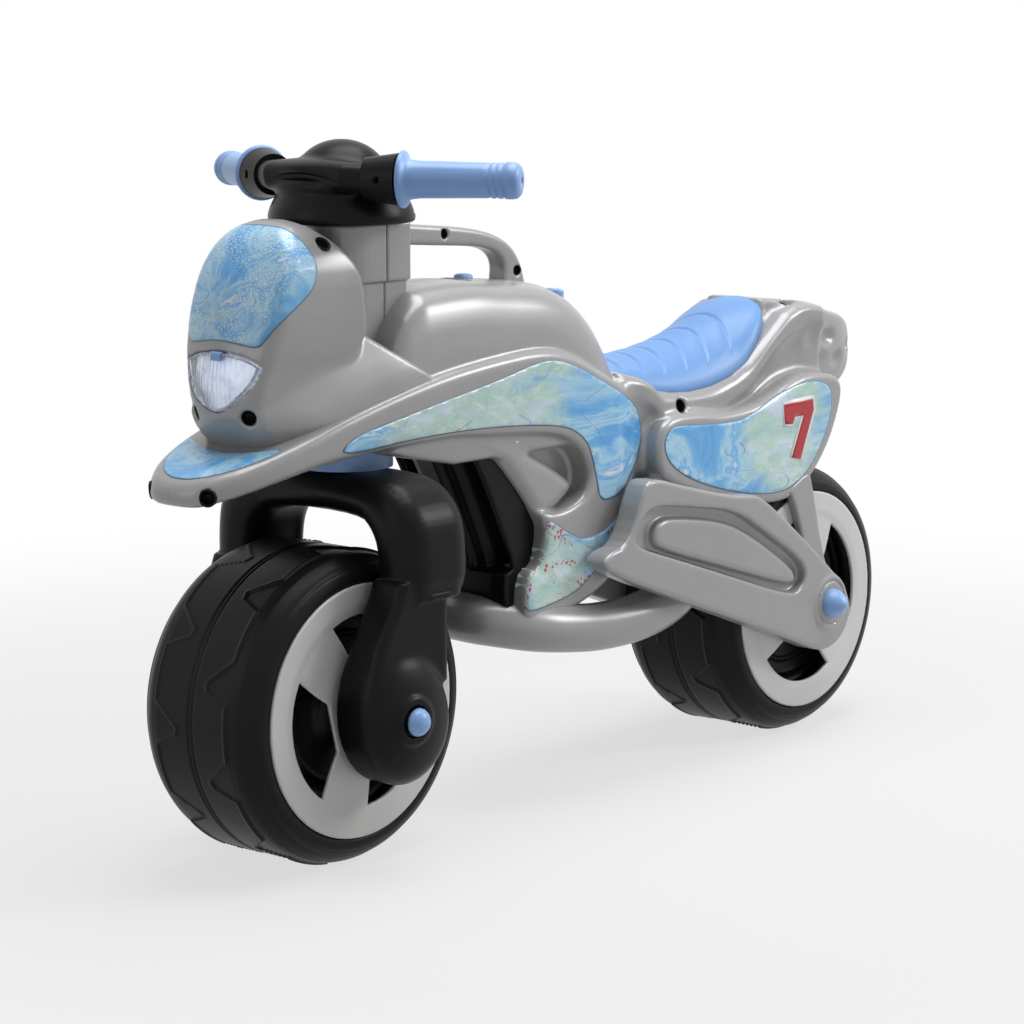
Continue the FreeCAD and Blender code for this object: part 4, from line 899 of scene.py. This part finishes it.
# ---------------------------------------------------------------- rear arms and struts
ARM = Outline([
    (-286, 209), (-258, 205), (-250, 192), (-378, 145), (-520, 92), (-560, 76), (-588, 84),
    (-602, 104), (-598, 124), (-580, 143), (-527, 184), (-466, 227), (-446, 230), (-420, 233),
    (-351, 250), (-324, 258), (-306, 257)])
ARM_DISH = Outline([
    (-291, 216), (-297, 205), (-338, 192), (-420, 165), (-509, 135), (-526, 139), (-533, 151),
    (-522, 166), (-474, 194), (-430, 219), (-378, 228), (-321, 237), (-303, 231)])
ARM_OVAL = Outline([
    (-319, 205), (-320, 217), (-328, 223), (-342, 225), (-411, 214), (-453, 197), (-513, 161),
    (-522, 148), (-514, 141), (-420, 170), (-335, 196)])
ARM_BOSS_R, ARM_RING_R = 24, 19.3


def arm(u, y, z):
    """The left arm: a plate with a dish, a raised oval in it, and the axle's boss."""
    plate = meet(ARM(u, z), abs(y - 74.5) - 11.2, 4)
    plate = carve(plate, meet(ARM_DISH(u, z), 75.5 - y, 2.5), 3)
    plate = join(plate, meet(meet(ARM_OVAL(u, z) + 1, y - 83.5, 5), 72 - y, 1), 2)
    away = np.sqrt((u - REAR_U) ** 2 + (z - WHEEL_R) ** 2)
    plate = join(plate, meet(away - ARM_BOSS_R, abs(y - 75.5) - 11.6, 3), 3)
    return carve(plate, meet(abs(away - ARM_RING_R) - 0.9, 85.5 - y, 0.4), 0.8)


STRUT = Outline([
    (-526, 222), (-556, 236), (-562, 229), (-580, 163), (-596, 132), (-578, 122), (-556, 152),
    (-548, 183), (-534, 216)], 1)


def strut(u, y, z):
    return meet(STRUT(u, z), abs(y - 65) - 4, 2.5)


arm_left = moulding("rear_arm_panel_left", arm, (-610, 58, 68), (-242, 92, 266), 1.7,
                    "root", "body_silver", "rear_arm_left")
put(mirror(arm_left, "rear_arm_panel_right"), "root", "body_silver", "rear_arm_right")
strut_left = moulding("rear_strut_post_left", strut, (-608, 58, 116), (-516, 72, 246), 1.6,
                      "root", "body_silver", "rear_strut_left")
put(mirror(strut_left, "rear_strut_post_right"), "root", "body_silver", "rear_strut_right")

# ---------------------------------------------------------------- fork
CROWN = Outline([
    (-56, 293), (56, 293), (80, 288), (98, 272), (106, 250), (106, 200), (63, 200), (63, 232),
    (58, 250), (44, 262), (-44, 262), (-58, 250), (-63, 232), (-63, 200), (-106, 200), (-106, 250),
    (-98, 272), (-80, 288)])
SLEEVE_PLAN = Outline([(-8, 63), (-70, 63), (-74, 80), (-68, 100), (-56, 106), (-20, 106), (-8, 98),
                       (-4, 82)], 1)


def fork(u, y, z):
    """The crown over the tyre, and on each side a neck, a round pod and the axle's boss."""
    side, y = y, abs(y)
    crown = meet(CROWN(side, z), abs(u + 40) - 36, 24)
    crown = meet(crown, 204 - z, 2.5)
    lip = meet(meet(SLEEVE_PLAN(u, y) + 1.5, abs(z - 206) - 2.4, 1.5), 62 - y, 1)
    crown = join(crown, lip, 2)
    fore = table(z, [(150, 30), (171, 24), (209, 3), (230, -5)])
    neck = meet(meet(np.maximum(u - fore, -52 - u), abs(y - 84) - 17, 8), abs(z - 180) - 40, 2)
    leg = join(crown, neck, 2)
    du, dz = u + 8 - 0.10 * (z - 120), z - 119
    round_out = np.sqrt((du / 43) ** 2 + (dz / np.where(dz > 0, 56, 53)) ** 2)
    pod = meet((round_out - 1) * 44, 66 - y, 3)
    pod = meet(pod, y - 114 + 0.0056 * (du ** 2 + dz ** 2), 14)
    leg = join(leg, pod, 3.5)
    away = np.sqrt(u ** 2 + (z - WHEEL_R) ** 2)
    leg = join(leg, meet(away - 18, abs(y - 106) - 8, 3), 3)
    return carve(leg, meet(away - 12, 110.5 - y, 0.5), 1)


moulding("fork_skin", fork, (-82, -118, 60), (44, 118, 298), 2.0,
         "steering", "black_plastic", "fork_front_shell", "fork_rear_shell")

# ---------------------------------------------------------------- dash
DASH_BASE = [(475, 54), (480, 55), (485, 54), (492, 51), (500, 47), (506, 44)]


def dash(u, y, z):
    """The pod: a base with a notch, a dome, and a brow and a lip round the bar's bridge."""
    du = u - STEER_U
    away = from_head(u, y)
    base = meet(away - table(z, DASH_BASE), abs(z - 490) - 14, 2.5)
    notch = meet(meet(abs(u + 84) - 7, abs(y - 36) - 12, 1), abs(z - 489) - 7, 1)
    base = carve(base, notch, 1)
    waist = meet(away - 37, abs(z - 506) - 12, 3)
    dome = meet(ball(u, y, z, (STEER_U, 0, 506), (36, 36, 31)), 506 - z, 3)
    pod = join(join(base, waist, 5), dome, 4)
    brow = ball(u, y, z, (STEER_U + 24, 0, 517), (24, 36, 7))
    pod = join(pod, brow, 4)
    back = 0.5 * np.clip(abs(y) - 38, 0, 20)
    bridge = meet(np.sqrt((u + 12 + back) ** 2 + (z - 510) ** 2) - 10.5, abs(y) - 54, 2)
    pod = join(pod, bridge, 6)
    gape = 2.6 * np.clip(1 - (y / 35) ** 2, 0, 1)
    slit = meet(abs(z - 510.5 + 0.002 * y ** 2) - gape - 0.1, 42.5 - du, 1)
    pod = carve(pod, slit, 1.2)
    lip = ball(u, y, z, (STEER_U + 33, 0, 503), (15, 34, 8))
    return join(pod, lip, 2.5)


moulding("dash_pod", dash, (-104, -60, 472), (14, 60, 541), 1.4,
         "steering", "black_plastic", "dash_base", "dash_cover")

# ---------------------------------------------------------------- grips and axle caps
SWEEP = math.radians(27.4)
GRIP_ROWS = [
    (0.4, 8.4), (0, 12), (0.2, 18), (1.2, 20.4), (2.6, 21), (4, 20.4), (5, 18.5), (6, 16),
    (8, 14.6), (12, 13.9), (16, 13.6), (30, 13.4), (50, 13.0), (64, 12.8), (66.5, 12.7),
    (67.3, 11.9), (68.3, 11.9), (69, 12.9), (71.5, 12.9), (72.3, 12), (73.3, 12), (74, 13),
    (76.5, 13), (77.3, 12.1), (78.3, 12.1), (79.2, 13.3), (84, 13.4), (87.5, 12.6), (89.6, 10.6),
    (90.6, 7.5), (90.8, 3.4), (90.3, 2.7), (84, 2.6), (84, 0)]


GRIP_START = (-33, 70.4, 510)
PAD_FROM, PAD_TO, PAD_DEPTH = 14, 64, 0.45


def grip(name, side):
    """A turned grip with rows of shallow pads pressed into it."""
    along = (-math.sin(SWEEP), side * math.cos(SWEEP), 0)
    start = (GRIP_START[0], side * GRIP_START[1], GRIP_START[2])
    piece = lathe(name, GRIP_ROWS, start, along, FINISHES["blue_plastic"], 128)
    centre, axis = Vector(to_frame(start)), Vector(along)
    for vertex in piece.data.vertices:
        away = vertex.co - centre
        run = away.dot(axis) / MM
        out = away - axis * away.dot(axis)
        if PAD_FROM < run < PAD_TO and out.length > 0.01:
            angle = math.atan2(out.z, out.cross(axis).z)
            pad = math.sin(angle * 4) * math.sin((run - PAD_FROM) / 50 * math.pi * 3)
            step = 1 / (1 + math.exp(-14 * (pad - 0.25)))
            vertex.co -= out.normalized() * PAD_DEPTH * MM * step
    return put(piece, "steering", "blue_plastic", name.replace("_sleeve", ""))


grip("grip_left_sleeve", 1)
grip("grip_right_sleeve", -1)
FRONT_CAP = [
    (0, 0), (0, 9.6), (1.4, 10.4), (3, 10.3), (5.2, 9.3), (7.4, 7.4), (9, 4.8), (9.8, 2),
    (9.9, 0)]
REAR_CAP = [
    (0, 0), (0, 12), (1, 12.5), (5, 12.1), (9, 10.4), (13, 7.2), (15.6, 3.8), (16.6, 1.6),
    (16.9, 0)]
for side, word in ((1, "left"), (-1, "right")):
    for end, rows, u, y, body_name in (("front", FRONT_CAP, 0, 114, "steering"),
                                       ("rear", REAR_CAP, REAR_U, 86.3, "root")):
        cap = lathe(end + "_cap_" + word, rows, (u, side * y, WHEEL_R), (0, side, 0),
                    FINISHES["blue_plastic"])
        put(cap, body_name, "blue_plastic", end + "_axle_cap_" + word)

# ---------------------------------------------------------------- exhaust and sound buttons
PIPE = [
    (-172, 0, 158), (-176, 17, 156), (-190, 36, 153), (-212, 48, 148), (-245, 53, 143),
    (-285, 54, 138), (-337, 54, 138), (-375, 54, 146), (-398, 52, 158), (-404, 48, 176)]
PIPE_R = 19.5


def exhaust():
    """One bent pipe under the engine, its two ends rising into the body."""
    path = np.array([(u, -y, z) for u, y, z in PIPE[:0:-1]] + PIPE, float)
    for _ in range(3):
        cut = np.stack([0.75 * path[:-1] + 0.25 * path[1:], 0.25 * path[:-1] + 0.75 * path[1:]], 1)
        path = np.concatenate([path[:1], cut.reshape(-1, 3), path[-1:]])
    run = np.gradient(path, axis=0)
    run /= np.linalg.norm(run, axis=1)[:, None]
    side = np.cross(run, np.array([0, 0, 1.0]))
    side /= np.linalg.norm(side, axis=1)[:, None]
    top = np.cross(side, run)
    turn = np.linspace(0, 2 * math.pi, 48, endpoint=False)
    ring = np.cos(turn)[None, :, None] * side[:, None] + np.sin(turn)[None, :, None] * top[:, None]
    tube = path[:, None] + PIPE_R * ring
    first, last = path[:1, None] + 0 * ring[:1], path[-1:, None] + 0 * ring[-1:]
    return wrap("exhaust_pipe", np.concatenate([first, tube, last]), FINISHES["body_silver"])


put(exhaust(), "root", "body_silver", "exhaust_left", "exhaust_right")
BUTTON_LEAN = {"button_start": 0.02, "button_horn": 0.16, "button_tune": 0.16}
BUTTON_ROWS = [
    (-12, 0), (-12, 7.6), (-3.4, 7.6), (-2.2, 7.5), (-1.2, 7.0), (-0.5, 5.9), (-0.1, 4.2), (0, 2),
    (0.05, 0)]
for node, lean in BUTTON_LEAN.items():
    low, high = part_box(node)
    middle = (low + high) / 2 / MM
    cap = lathe(node + "_cap", BUTTON_ROWS, (middle.x - FRONT_X, middle.y, high.z / MM),
                (-lean, 0, 1), FINISHES["blue_plastic"], 64)
    put(cap, node, "blue_plastic", node)

# ---------------------------------------------------------------- wheels
TREAD_ROWS = [
    (0, 120), (36, 119.9), (42, 119.2), (47, 117.6), (51, 115), (54.5, 111.6), (57.4, 107.2),
    (59.2, 102.6), (59.9, 98.6), (59.4, 96.6), (58, 95.9), (56.6, 95), (56, 92), (53, 90),
    (47, 88.5), (43, 86.5), (40.5, 83), (40, 80), (41.5, 79), (41.5, 77.4), (40, 76.4), (39.6, 70),
    (41, 69), (41, 67.4), (39.4, 66.4), (39, 58), (40.4, 57), (40.4, 55.4), (38.8, 54.4),
    (38.4, 44), (40, 34), (44, 27), (50, 24), (55, 23), (56.5, 20), (56.5, 16)]


TOOTH = ([0, 0.36, 0.48, 0.56, 0.80, 1], [36, 36, 16, 14, 36, 36])
TEETH = 10


def tyre_points(turn):
    """Rings of points of a tyre: its section turned round, with lowered teeth at each edge."""
    segments = 500
    half = []
    for (y0, r0), (y1, r1) in zip(TREAD_ROWS, TREAD_ROWS[1:]):
        count = max(1, int(math.hypot(y1 - y0, r1 - r0) / (1.0 if y1 < 50 and r1 > 110 else 2.6)))
        half += [(y0 + (y1 - y0) * i / count, r0 + (r1 - r0) * i / count) for i in range(count)]
    half.append(TREAD_ROWS[-1])
    rows = np.array([(-y, r) for y, r in half[:0:-1]] + half)
    y, r = rows[:, 0][:, None], rows[:, 1][:, None]
    angle = np.linspace(0, 2 * math.pi, segments, endpoint=False)[None, :]
    phase = ((angle / (2 * math.pi) * TEETH) + np.where(y > 0, 0, 0.5) + turn) % 1
    edge = np.interp(phase, *TOOTH)
    outer = r > 108
    lowered = 1 / (1 + np.exp(-np.clip((abs(y) - edge) / 0.42, -30, 30)))
    rib = np.exp(-((abs(y) - edge) / 1.35) ** 2)
    grooves = np.exp(-((abs(y) - 1.9) / 0.8) ** 2) + 0.6 * np.exp(-((abs(y) - 47.5) / 0.8) ** 2)
    r = r - outer * (1.5 + 0.9 * lowered - 1.5 * rib + 1.3 * grooves)
    return y + 0 * angle, r, angle


def tyre(name, u, body_name, node, turn):
    y, r, angle = tyre_points(turn)
    points = np.stack([u + r * np.cos(angle), y + 0 * r, WHEEL_R + r * np.sin(angle)], 2)
    piece = wrap(name, points, FINISHES["tyre_black"], closed=True)
    put(piece, body_name, "tyre_black", node)


tyre("front_tyre_skin", 0, "front_wheel", "front_tyre", 0.1)
tyre("rear_tyre_skin", REAR_U, "rear_wheel", "rear_tyre", 0.4)


# Corners of one gap between spokes: radius and angle.
GAP_CORNERS = [
    (37, -31), (37, 31), (52, 35.5), (73, 40.5), (73.5, 30), (73.5, 20), (73.5, 10), (73.5, 0),
    (73.5, -10), (73.5, -20), (73.5, -30), (73, -40.5), (52, -35.5)]
RIM_R, RIM_BOSS_R = 95.6, 27


def opening(turn):
    """Outline of one gap between spokes, its middle at that angle from straight ahead."""
    sharp = []
    for radius, angle in GAP_CORNERS:
        at_angle = math.radians(angle + turn)
        spot = (radius * math.cos(at_angle), radius * math.sin(at_angle))
        sharp += [spot, spot] if abs(angle) in (31, 40.5) else [spot]
    return Outline(sharp, 1)


def rim(name, u0, first, body_name, node):
    """The two discs of a wheel, three gaps in each, the first at that angle."""
    gaps = [opening(first + 120 * i) for i in range(3)]

    def disc(u, y, z):
        du, dz = u - u0, z - WHEEL_R
        away = np.sqrt(du ** 2 + dz ** 2)
        hollow = np.clip((80 - away) / 6, 0, 1)
        plate = meet(away - RIM_R, abs(y - 59.5 + hollow) - 1.7, 1)
        for gap in gaps:
            plate = carve(plate, gap(du, dz), 0.8)
        return join(plate, meet(away - RIM_BOSS_R, abs(y - 58.6) - 2.6, 1), 1)

    low, high = (u0 - 99, 54, WHEEL_R - 99), (u0 + 99, 64, WHEEL_R + 99)
    piece = moulding(name + "_left", disc, low, high, 1.25, body_name, "rim_pale", node + "_left")
    put(mirror(piece, name + "_right"), body_name, "rim_pale", node + "_right")


rim("front_rim_disc", 0, -14, "front_wheel", "front_rim")
rim("rear_rim_disc", REAR_U, 41, "rear_wheel", "rear_rim")

# ---------------------------------------------------------------- printed films
FILM_THICK = 0.22


def film(name, points, target, ray, material, spacing=2.6, rounds=2, lift=0.3):
    """A printed film laid on one or more pieces: a flat outline cast onto them along rays."""
    outline = Outline(points, rounds)
    edge = outline.points
    low, high = edge.min(0), edge.max(0)
    grid = [np.arange(start, stop, spacing) for start, stop in zip(low, high)]
    a, b = np.meshgrid(*grid, indexing="ij")
    inner = np.stack([a.ravel(), b.ravel()], 1)
    inner = inner[outline(inner[:, 0], inner[:, 1]) < -0.55 * spacing]
    flat = np.concatenate([edge, inner])
    ring = [(i, (i + 1) % len(edge)) for i in range(len(edge))]
    spots, _, faces, *_ = delaunay_2d_cdt([Vector(p) for p in flat], ring, [], 1, 1e-4)
    mesh = bmesh.new()
    for shell in target if isinstance(target, tuple) else (target,):
        mesh.from_mesh(shell.data)
    tree = BVHTree.FromBMesh(mesh)
    mesh.free()
    flat = np.array([tuple(s) for s in spots])
    placed, depths = [], -outline(flat[:, 0], flat[:, 1])
    for spot in flat:
        origin, direction = ray(*spot)
        hit, normal, _, _ = tree.ray_cast(Vector(to_frame(origin)), Vector(direction).normalized())
        if hit is None:
            hit = Vector(to_frame(origin)) + Vector(direction) * 0.1
            normal = -Vector(direction)
        if normal.dot(Vector(direction)) > 0:
            normal = -normal
        placed.append(hit + normal * lift * MM)
    piece = make_object(name, placed, [tuple(f) for f in faces], material)
    layer = piece.data.attributes.new("from_edge", "FLOAT", "POINT")
    layer.data.foreach_set("value", np.maximum(depths, 0).astype(np.float32))
    middle = piece.data.polygons[len(piece.data.polygons) // 2]
    if middle.normal.dot(Vector(ray(*flat.mean(0))[1])) > 0:
        piece.data.flip_normals()
    thick = piece.modifiers.new("thickness", "SOLIDIFY")
    thick.thickness = FILM_THICK * MM
    thick.offset = -1
    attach(piece, "root")
    return piece


def from_side(side):
    """Rays for points (u, z), cast inwards from that side."""
    return lambda u, z: ((u, side * 120, z), (0, -side, 0))


NOSE_EYE = np.array([20.0, 0.0, 420.0])


def from_nose(across, up):
    """The ray back to the middle of the nose from that angle across and up, in degrees."""
    a, b = math.radians(across), math.radians(up)
    out = np.array([math.cos(a) * math.cos(b), math.sin(a) * math.cos(b), math.sin(b)])
    return tuple(NOSE_EYE + 150 * out), tuple(-out)


def from_above(u, y):
    """The ray straight down onto the beak at (u, y)."""
    return (u, y, 345), (0, 0, -1)


SWOOSH = [
    (19, 314), (14, 320), (0, 326), (-40, 333), (-76, 339), (-156, 352), (-204, 362), (-226, 362),
    (-252, 354), (-284, 339), (-324, 320), (-337, 310), (-343, 298), (-342, 283), (-333, 264),
    (-314, 248), (-292, 242), (-279, 244), (-275, 261), (-268, 284), (-258, 297), (-236, 308),
    (-180, 314), (-110, 317), (-43, 315), (0, 312)]
LOWER_FILM = [
    (-214, 238), (-211, 219), (-208, 205), (-189, 193), (-189, 168), (-194, 164), (-240, 170),
    (-262, 178), (-291, 201), (-324, 238), (-334, 262), (-328, 256), (-300, 222), (-262, 213),
    (-240, 222)]
REAR_FILM = [
    (-350, 280), (-356, 292), (-370, 296), (-400, 293), (-439, 291), (-466, 292), (-512, 308),
    (-547, 316), (-576, 314), (-591, 305), (-590, 280), (-571, 250), (-548, 230), (-515, 221),
    (-462, 227), (-400, 243), (-360, 262)]
NOSE_FILM = [
    (-31, -22), (-16, -21), (0, -20), (16, -21), (31, -22), (36, -17), (44, -8), (57, 2), (73, 15),
    (80, 30), (79, 40), (70, 51), (53, 63), (17, 70), (0, 71), (-17, 70), (-53, 63), (-70, 51),
    (-79, 40), (-80, 30), (-73, 15), (-57, 2), (-44, -8), (-36, -17)]
LEAF_FILM = [
    (66, 50), (84, 46), (102, 38), (115, 27), (123, 13), (125, 0), (123, -13), (115, -27),
    (102, -38), (84, -46), (66, -50), (74, -34), (80, -18), (82, 0), (80, 18), (74, 34)]


def at(u, y, z):
    """A place in millimetres as a tuple in metres."""
    return tuple(to_frame((u, y, z)))


SWOOSH_ART = artwork("swoosh_art", at(-130, 60, 335), 0.13)
LOWER_ART = artwork("lower_art", at(-225, 60, 185), 0.06, red=0.9, spots=0.4)
REAR_ART = artwork("rear_art", at(-520, 68, 280), 0.07)
NOSE_ART = artwork("nose_art", at(100, -10, 420), 0.03, spots=0.8)
LEAF_ART = artwork("leaf_art", at(110, 60, 300), 0.02)
for side, word, shell in ((1, "left", body_left), (-1, "right", body_right)):
    film("swoosh_film_" + word, SWOOSH, shell, from_side(side), SWOOSH_ART)
    film("lower_film_" + word, LOWER_FILM, shell, from_side(side), LOWER_ART)
    film("rear_film_" + word, REAR_FILM, shell, from_side(side), REAR_ART)
film("nose_film", NOSE_FILM, nose_cowl, from_nose, NOSE_ART)
film("leaf_film", LEAF_FILM, (body_left, body_right), from_above, LEAF_ART, spacing=2.0, rounds=1)

RED_PRINT = moulded("red_print", (0.50, 0.015, 0.03), 0.3)
WHITE_PRINT = moulded("white_print", (0.85, 0.87, 0.88), 0.3)
SEVEN = np.array([(-518, 298), (-520, 281), (-532, 280), (-535, 286), (-548, 286), (-531, 251),
                  (-544, 248), (-563, 290), (-562, 299)], float)


def grown(points, by):
    """An outline moved outwards."""
    before, after = np.roll(points, 1, 0), np.roll(points, -1, 0)
    run = after - before
    out = np.stack([run[:, 1], -run[:, 0]], 1) / np.linalg.norm(run, axis=1)[:, None]
    area = np.sum(points[:, 0] * after[:, 1] - after[:, 0] * points[:, 1])
    return points + out * by * (1 if area > 0 else -1)


for side, word, shell in ((1, "left", body_left), (-1, "right", body_right)):
    film("number_edge_" + word, grown(SEVEN, 3.2), shell, from_side(side), WHITE_PRINT,
         rounds=0, lift=0.5)
    film("number_" + word, SEVEN, shell, from_side(side), RED_PRINT, rounds=0, lift=0.7)

# ---------------------------------------------------------------- screws
def screw_tree():
    """Node tree: a cross-head screw on every point, facing as the point's attribute says."""
    tree = bpy.data.node_groups.new("screws", "GeometryNodeTree")
    face = tree.interface
    face.new_socket("Points", in_out="INPUT", socket_type="NodeSocketGeometry")
    face.new_socket("Head Radius", in_out="INPUT", socket_type="NodeSocketFloat")
    face.new_socket("Finish", in_out="INPUT", socket_type="NodeSocketMaterial")
    face.new_socket("Screws", in_out="OUTPUT", socket_type="NodeSocketGeometry")
    nodes, links = tree.nodes, tree.links

    def add(kind, settings=None, **sockets):
        made = nodes.new(kind)
        for key, value in (settings or {}).items():
            setattr(made, key, value)
        for key, value in sockets.items():
            socket = made.inputs[key.replace("_", " ")]
            if isinstance(value, bpy.types.NodeSocket):
                links.new(value, socket)
            else:
                socket.default_value = value
        return made

    given = add("NodeGroupInput").outputs
    radius = given["Head Radius"]
    head_mesh = add("GeometryNodeMeshCylinder", Vertices=24, Radius=radius, Depth=0.0016)
    shrink = add("ShaderNodeMath", {"operation": "MULTIPLY"})
    links.new(radius, shrink.inputs[0])
    shrink.inputs[1].default_value = 1.1
    bar_size = add("ShaderNodeCombineXYZ", X=shrink.outputs[0], Y=0.0011, Z=0.003)
    bar_a = add("GeometryNodeMeshCube", Size=bar_size.outputs[0])
    turned = add("GeometryNodeTransform", Geometry=bar_a.outputs[0], Rotation=(0, 0, math.pi / 2))
    lift = add("GeometryNodeJoinGeometry")
    links.new(bar_a.outputs[0], lift.inputs[0])
    links.new(turned.outputs[0], lift.inputs[0])
    raised = add("GeometryNodeTransform", Geometry=lift.outputs[0], Translation=(0, 0, 0.0012))
    cut = nodes.new("GeometryNodeMeshBoolean")
    cut.operation = "DIFFERENCE"
    links.new(head_mesh.outputs["Mesh"], cut.inputs[0])
    links.new(raised.outputs[0], cut.inputs[1])
    normal = add("GeometryNodeInputNamedAttribute", {"data_type": "FLOAT_VECTOR"}, Name="facing")
    aim = add("FunctionNodeAlignRotationToVector", {"axis": "Z"}, Vector=normal.outputs[0])
    many = add("GeometryNodeInstanceOnPoints", Points=given["Points"], Instance=cut.outputs[0],
               Rotation=aim.outputs[0])
    real = add("GeometryNodeRealizeInstances", Geometry=many.outputs[0])
    painted = add("GeometryNodeSetMaterial", Geometry=real.outputs[0], Material=given["Finish"])
    out = add("NodeGroupOutput")
    links.new(painted.outputs[0], out.inputs[0])
    return tree


SCREWS = screw_tree()


def screws(name, seats, body_name, slot, radius, *nodes):
    """Screw heads at (place, facing) seats, as one plain mesh on a body."""
    mesh = bpy.data.meshes.new(name + "_seats")
    mesh.from_pydata([tuple(to_frame(spot)) for spot, _ in seats], [], [])
    facing = mesh.attributes.new("facing", "FLOAT_VECTOR", "POINT")
    facing.data.foreach_set("vector", np.array([d for _, d in seats], np.float32).ravel())
    source = new_object(name, mesh)
    modifier = source.modifiers.new("screws", "NODES")
    modifier.node_group = SCREWS
    for item in SCREWS.interface.items_tree:
        if item.name == "Head Radius":
            modifier[item.identifier] = radius * MM
        elif item.name == "Finish":
            modifier[item.identifier] = FINISHES[slot]
    seen = source.evaluated_get(bpy.context.evaluated_depsgraph_get())
    plain = bpy.data.meshes.new_from_object(seen)
    source.modifiers.remove(modifier)
    source.data = plain
    return put(source, body_name, slot, *nodes)


def seat_of(pit):
    """Where a screw's head sits in its recess, and which way it faces."""
    centre, direction, _, depth = pit
    along = np.array(direction) / np.linalg.norm(direction)
    return tuple(np.array(centre) - along * (depth - 0.9)), tuple(along)


screws("body_screw_heads", both_sides([seat_of(p) for p in BODY_PITS + NOSE_PITS]),
       "root", "black_plastic", 4.3, "body_screws")
screws("arm_screw_heads", both_sides([((-535, 79, 137), (0, 1, 0))]), "root", "steel", 2.6)
screws("bar_screw_heads", both_sides([((-26, 60, 508), (0.9, 0.3, 0))]),
       "steering", "steel", 2.4, "bar_screws")

# ---------------------------------------------------------------- kept frame nodes
for node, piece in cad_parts.items():
    given = piece.data.materials[0] if piece.data.materials else None
    slot = given.name.split(".")[0] if given else ""
    if slot not in FINISHES or node == "handlebar_tube":
        slot = "black_plastic"
    piece.data.materials.clear()
    piece.data.materials.append(FINISHES[slot])

# ---------------------------------------------------------------- stage, light, camera
PAPER_TONES = ((0.54, 0.54, 0.54), (0.56, 0.56, 0.56))
PAPER_EDGE = 9.0
SKY_LIGHT = 0.12


def studio():
    """A pale floor that seen rays find nearly white, more so further out."""
    paper = Finish("paper", Roughness=0.9)
    rays = paper.tree.nodes.new("ShaderNodeLightPath")
    by_camera, by_gloss = (Value(paper, rays.outputs["Is " + kind + " Ray"])
                           for kind in ("Camera", "Glossy"))
    seen = paper.node("ShaderNodeMath", {"operation": "MAXIMUM"}, {0: by_camera, 1: by_gloss})
    paper.set(**{"Base Color": paper.mix(paper.noise(3.0), *PAPER_TONES)})
    reach = paper.node("ShaderNodeVectorMath", {"operation": "LENGTH"}, {0: paper.place()}, 1)
    white = paper.node("ShaderNodeEmission", None, {"Color": (1, 1, 1), "Strength": 1.0})
    blend = paper.tree.nodes.new("ShaderNodeMixShader")
    paper.tree.links.new((seen * (0.68 + 0.32 * reach.over(0.95, 0.9))).socket, blend.inputs[0])
    paper.tree.links.new(paper.shader.outputs[0], blend.inputs[1])
    paper.tree.links.new(white.socket, blend.inputs[2])
    paper.tree.links.new(blend.outputs[0], paper.out.inputs[0])
    corners = [(a * PAPER_EDGE, b * PAPER_EDGE, 0) for a, b in ((-1, -1), (1, -1), (1, 1), (-1, 1))]
    floor = make_object("floor", corners, [(0, 1, 2, 3)], paper.material)


def lamp(name, place, aim, size, power):
    """A square area light at a place, turned to what it lights; size in metres, power in watts."""
    data = bpy.data.lights.new(name, "AREA")
    data.size = size
    data.energy = power
    light = new_object(name, data)
    light.location = place
    light.rotation_mode = "QUATERNION"
    light.rotation_quaternion = (Vector(aim) - Vector(place)).to_track_quat("-Z", "Y")


def sky():
    """A faint even light, seen as white by camera, glossy and transmission rays."""
    world = bpy.data.worlds.new("studio")
    bpy.context.scene.world = world
    world.use_nodes = True
    nodes, links = world.node_tree.nodes, world.node_tree.links
    nodes.clear()
    path = nodes.new("ShaderNodeLightPath")
    seen = path.outputs["Is Camera Ray"]
    for ray in ("Is Transmission Ray", "Is Glossy Ray"):
        either = nodes.new("ShaderNodeMath")
        either.operation = "MAXIMUM"
        links.new(seen, either.inputs[0])
        links.new(path.outputs[ray], either.inputs[1])
        seen = either.outputs[0]
    mix = nodes.new("ShaderNodeMixShader")
    links.new(seen, mix.inputs[0])
    for place, strength in ((1, SKY_LIGHT), (2, 1.0)):
        light = nodes.new("ShaderNodeBackground")
        light.inputs["Color"].default_value = (1, 1, 1, 1)
        light.inputs["Strength"].default_value = strength
        links.new(light.outputs[0], mix.inputs[place])
    out = nodes.new("ShaderNodeOutputWorld")
    links.new(mix.outputs[0], out.inputs[0])


studio()
sky()
middle = (cad_low + cad_high) / 2
lamp("key", (-0.25, 0.1, 2.5), middle, 1.7, 54)
lamp("front", (2.3, -0.6, 1.1), middle, 1.2, 4)
lamp("side", (-1.6, 1.5, 1.5), middle, 0.8, 24)
bpy.context.scene.view_settings.view_transform = "Standard"

CAMERA_AT = (1555.885, 1538.867, 623.756)
LENS_MM = 104.52
camera_data = bpy.data.cameras.new("camera")
camera_data.sensor_width = 36
camera_data.lens = LENS_MM
camera_data.clip_end = 50
camera = new_object("camera", camera_data)
YAW, PITCH = -2.433, 0.164
forward = Vector((math.cos(YAW) * math.cos(PITCH), math.sin(YAW) * math.cos(PITCH),
                  -math.sin(PITCH)))
camera.location = Vector(to_frame(CAMERA_AT))
camera.rotation_mode = "QUATERNION"
camera.rotation_quaternion = forward.to_track_quat("-Z", "Y")
bpy.context.scene.camera = camera
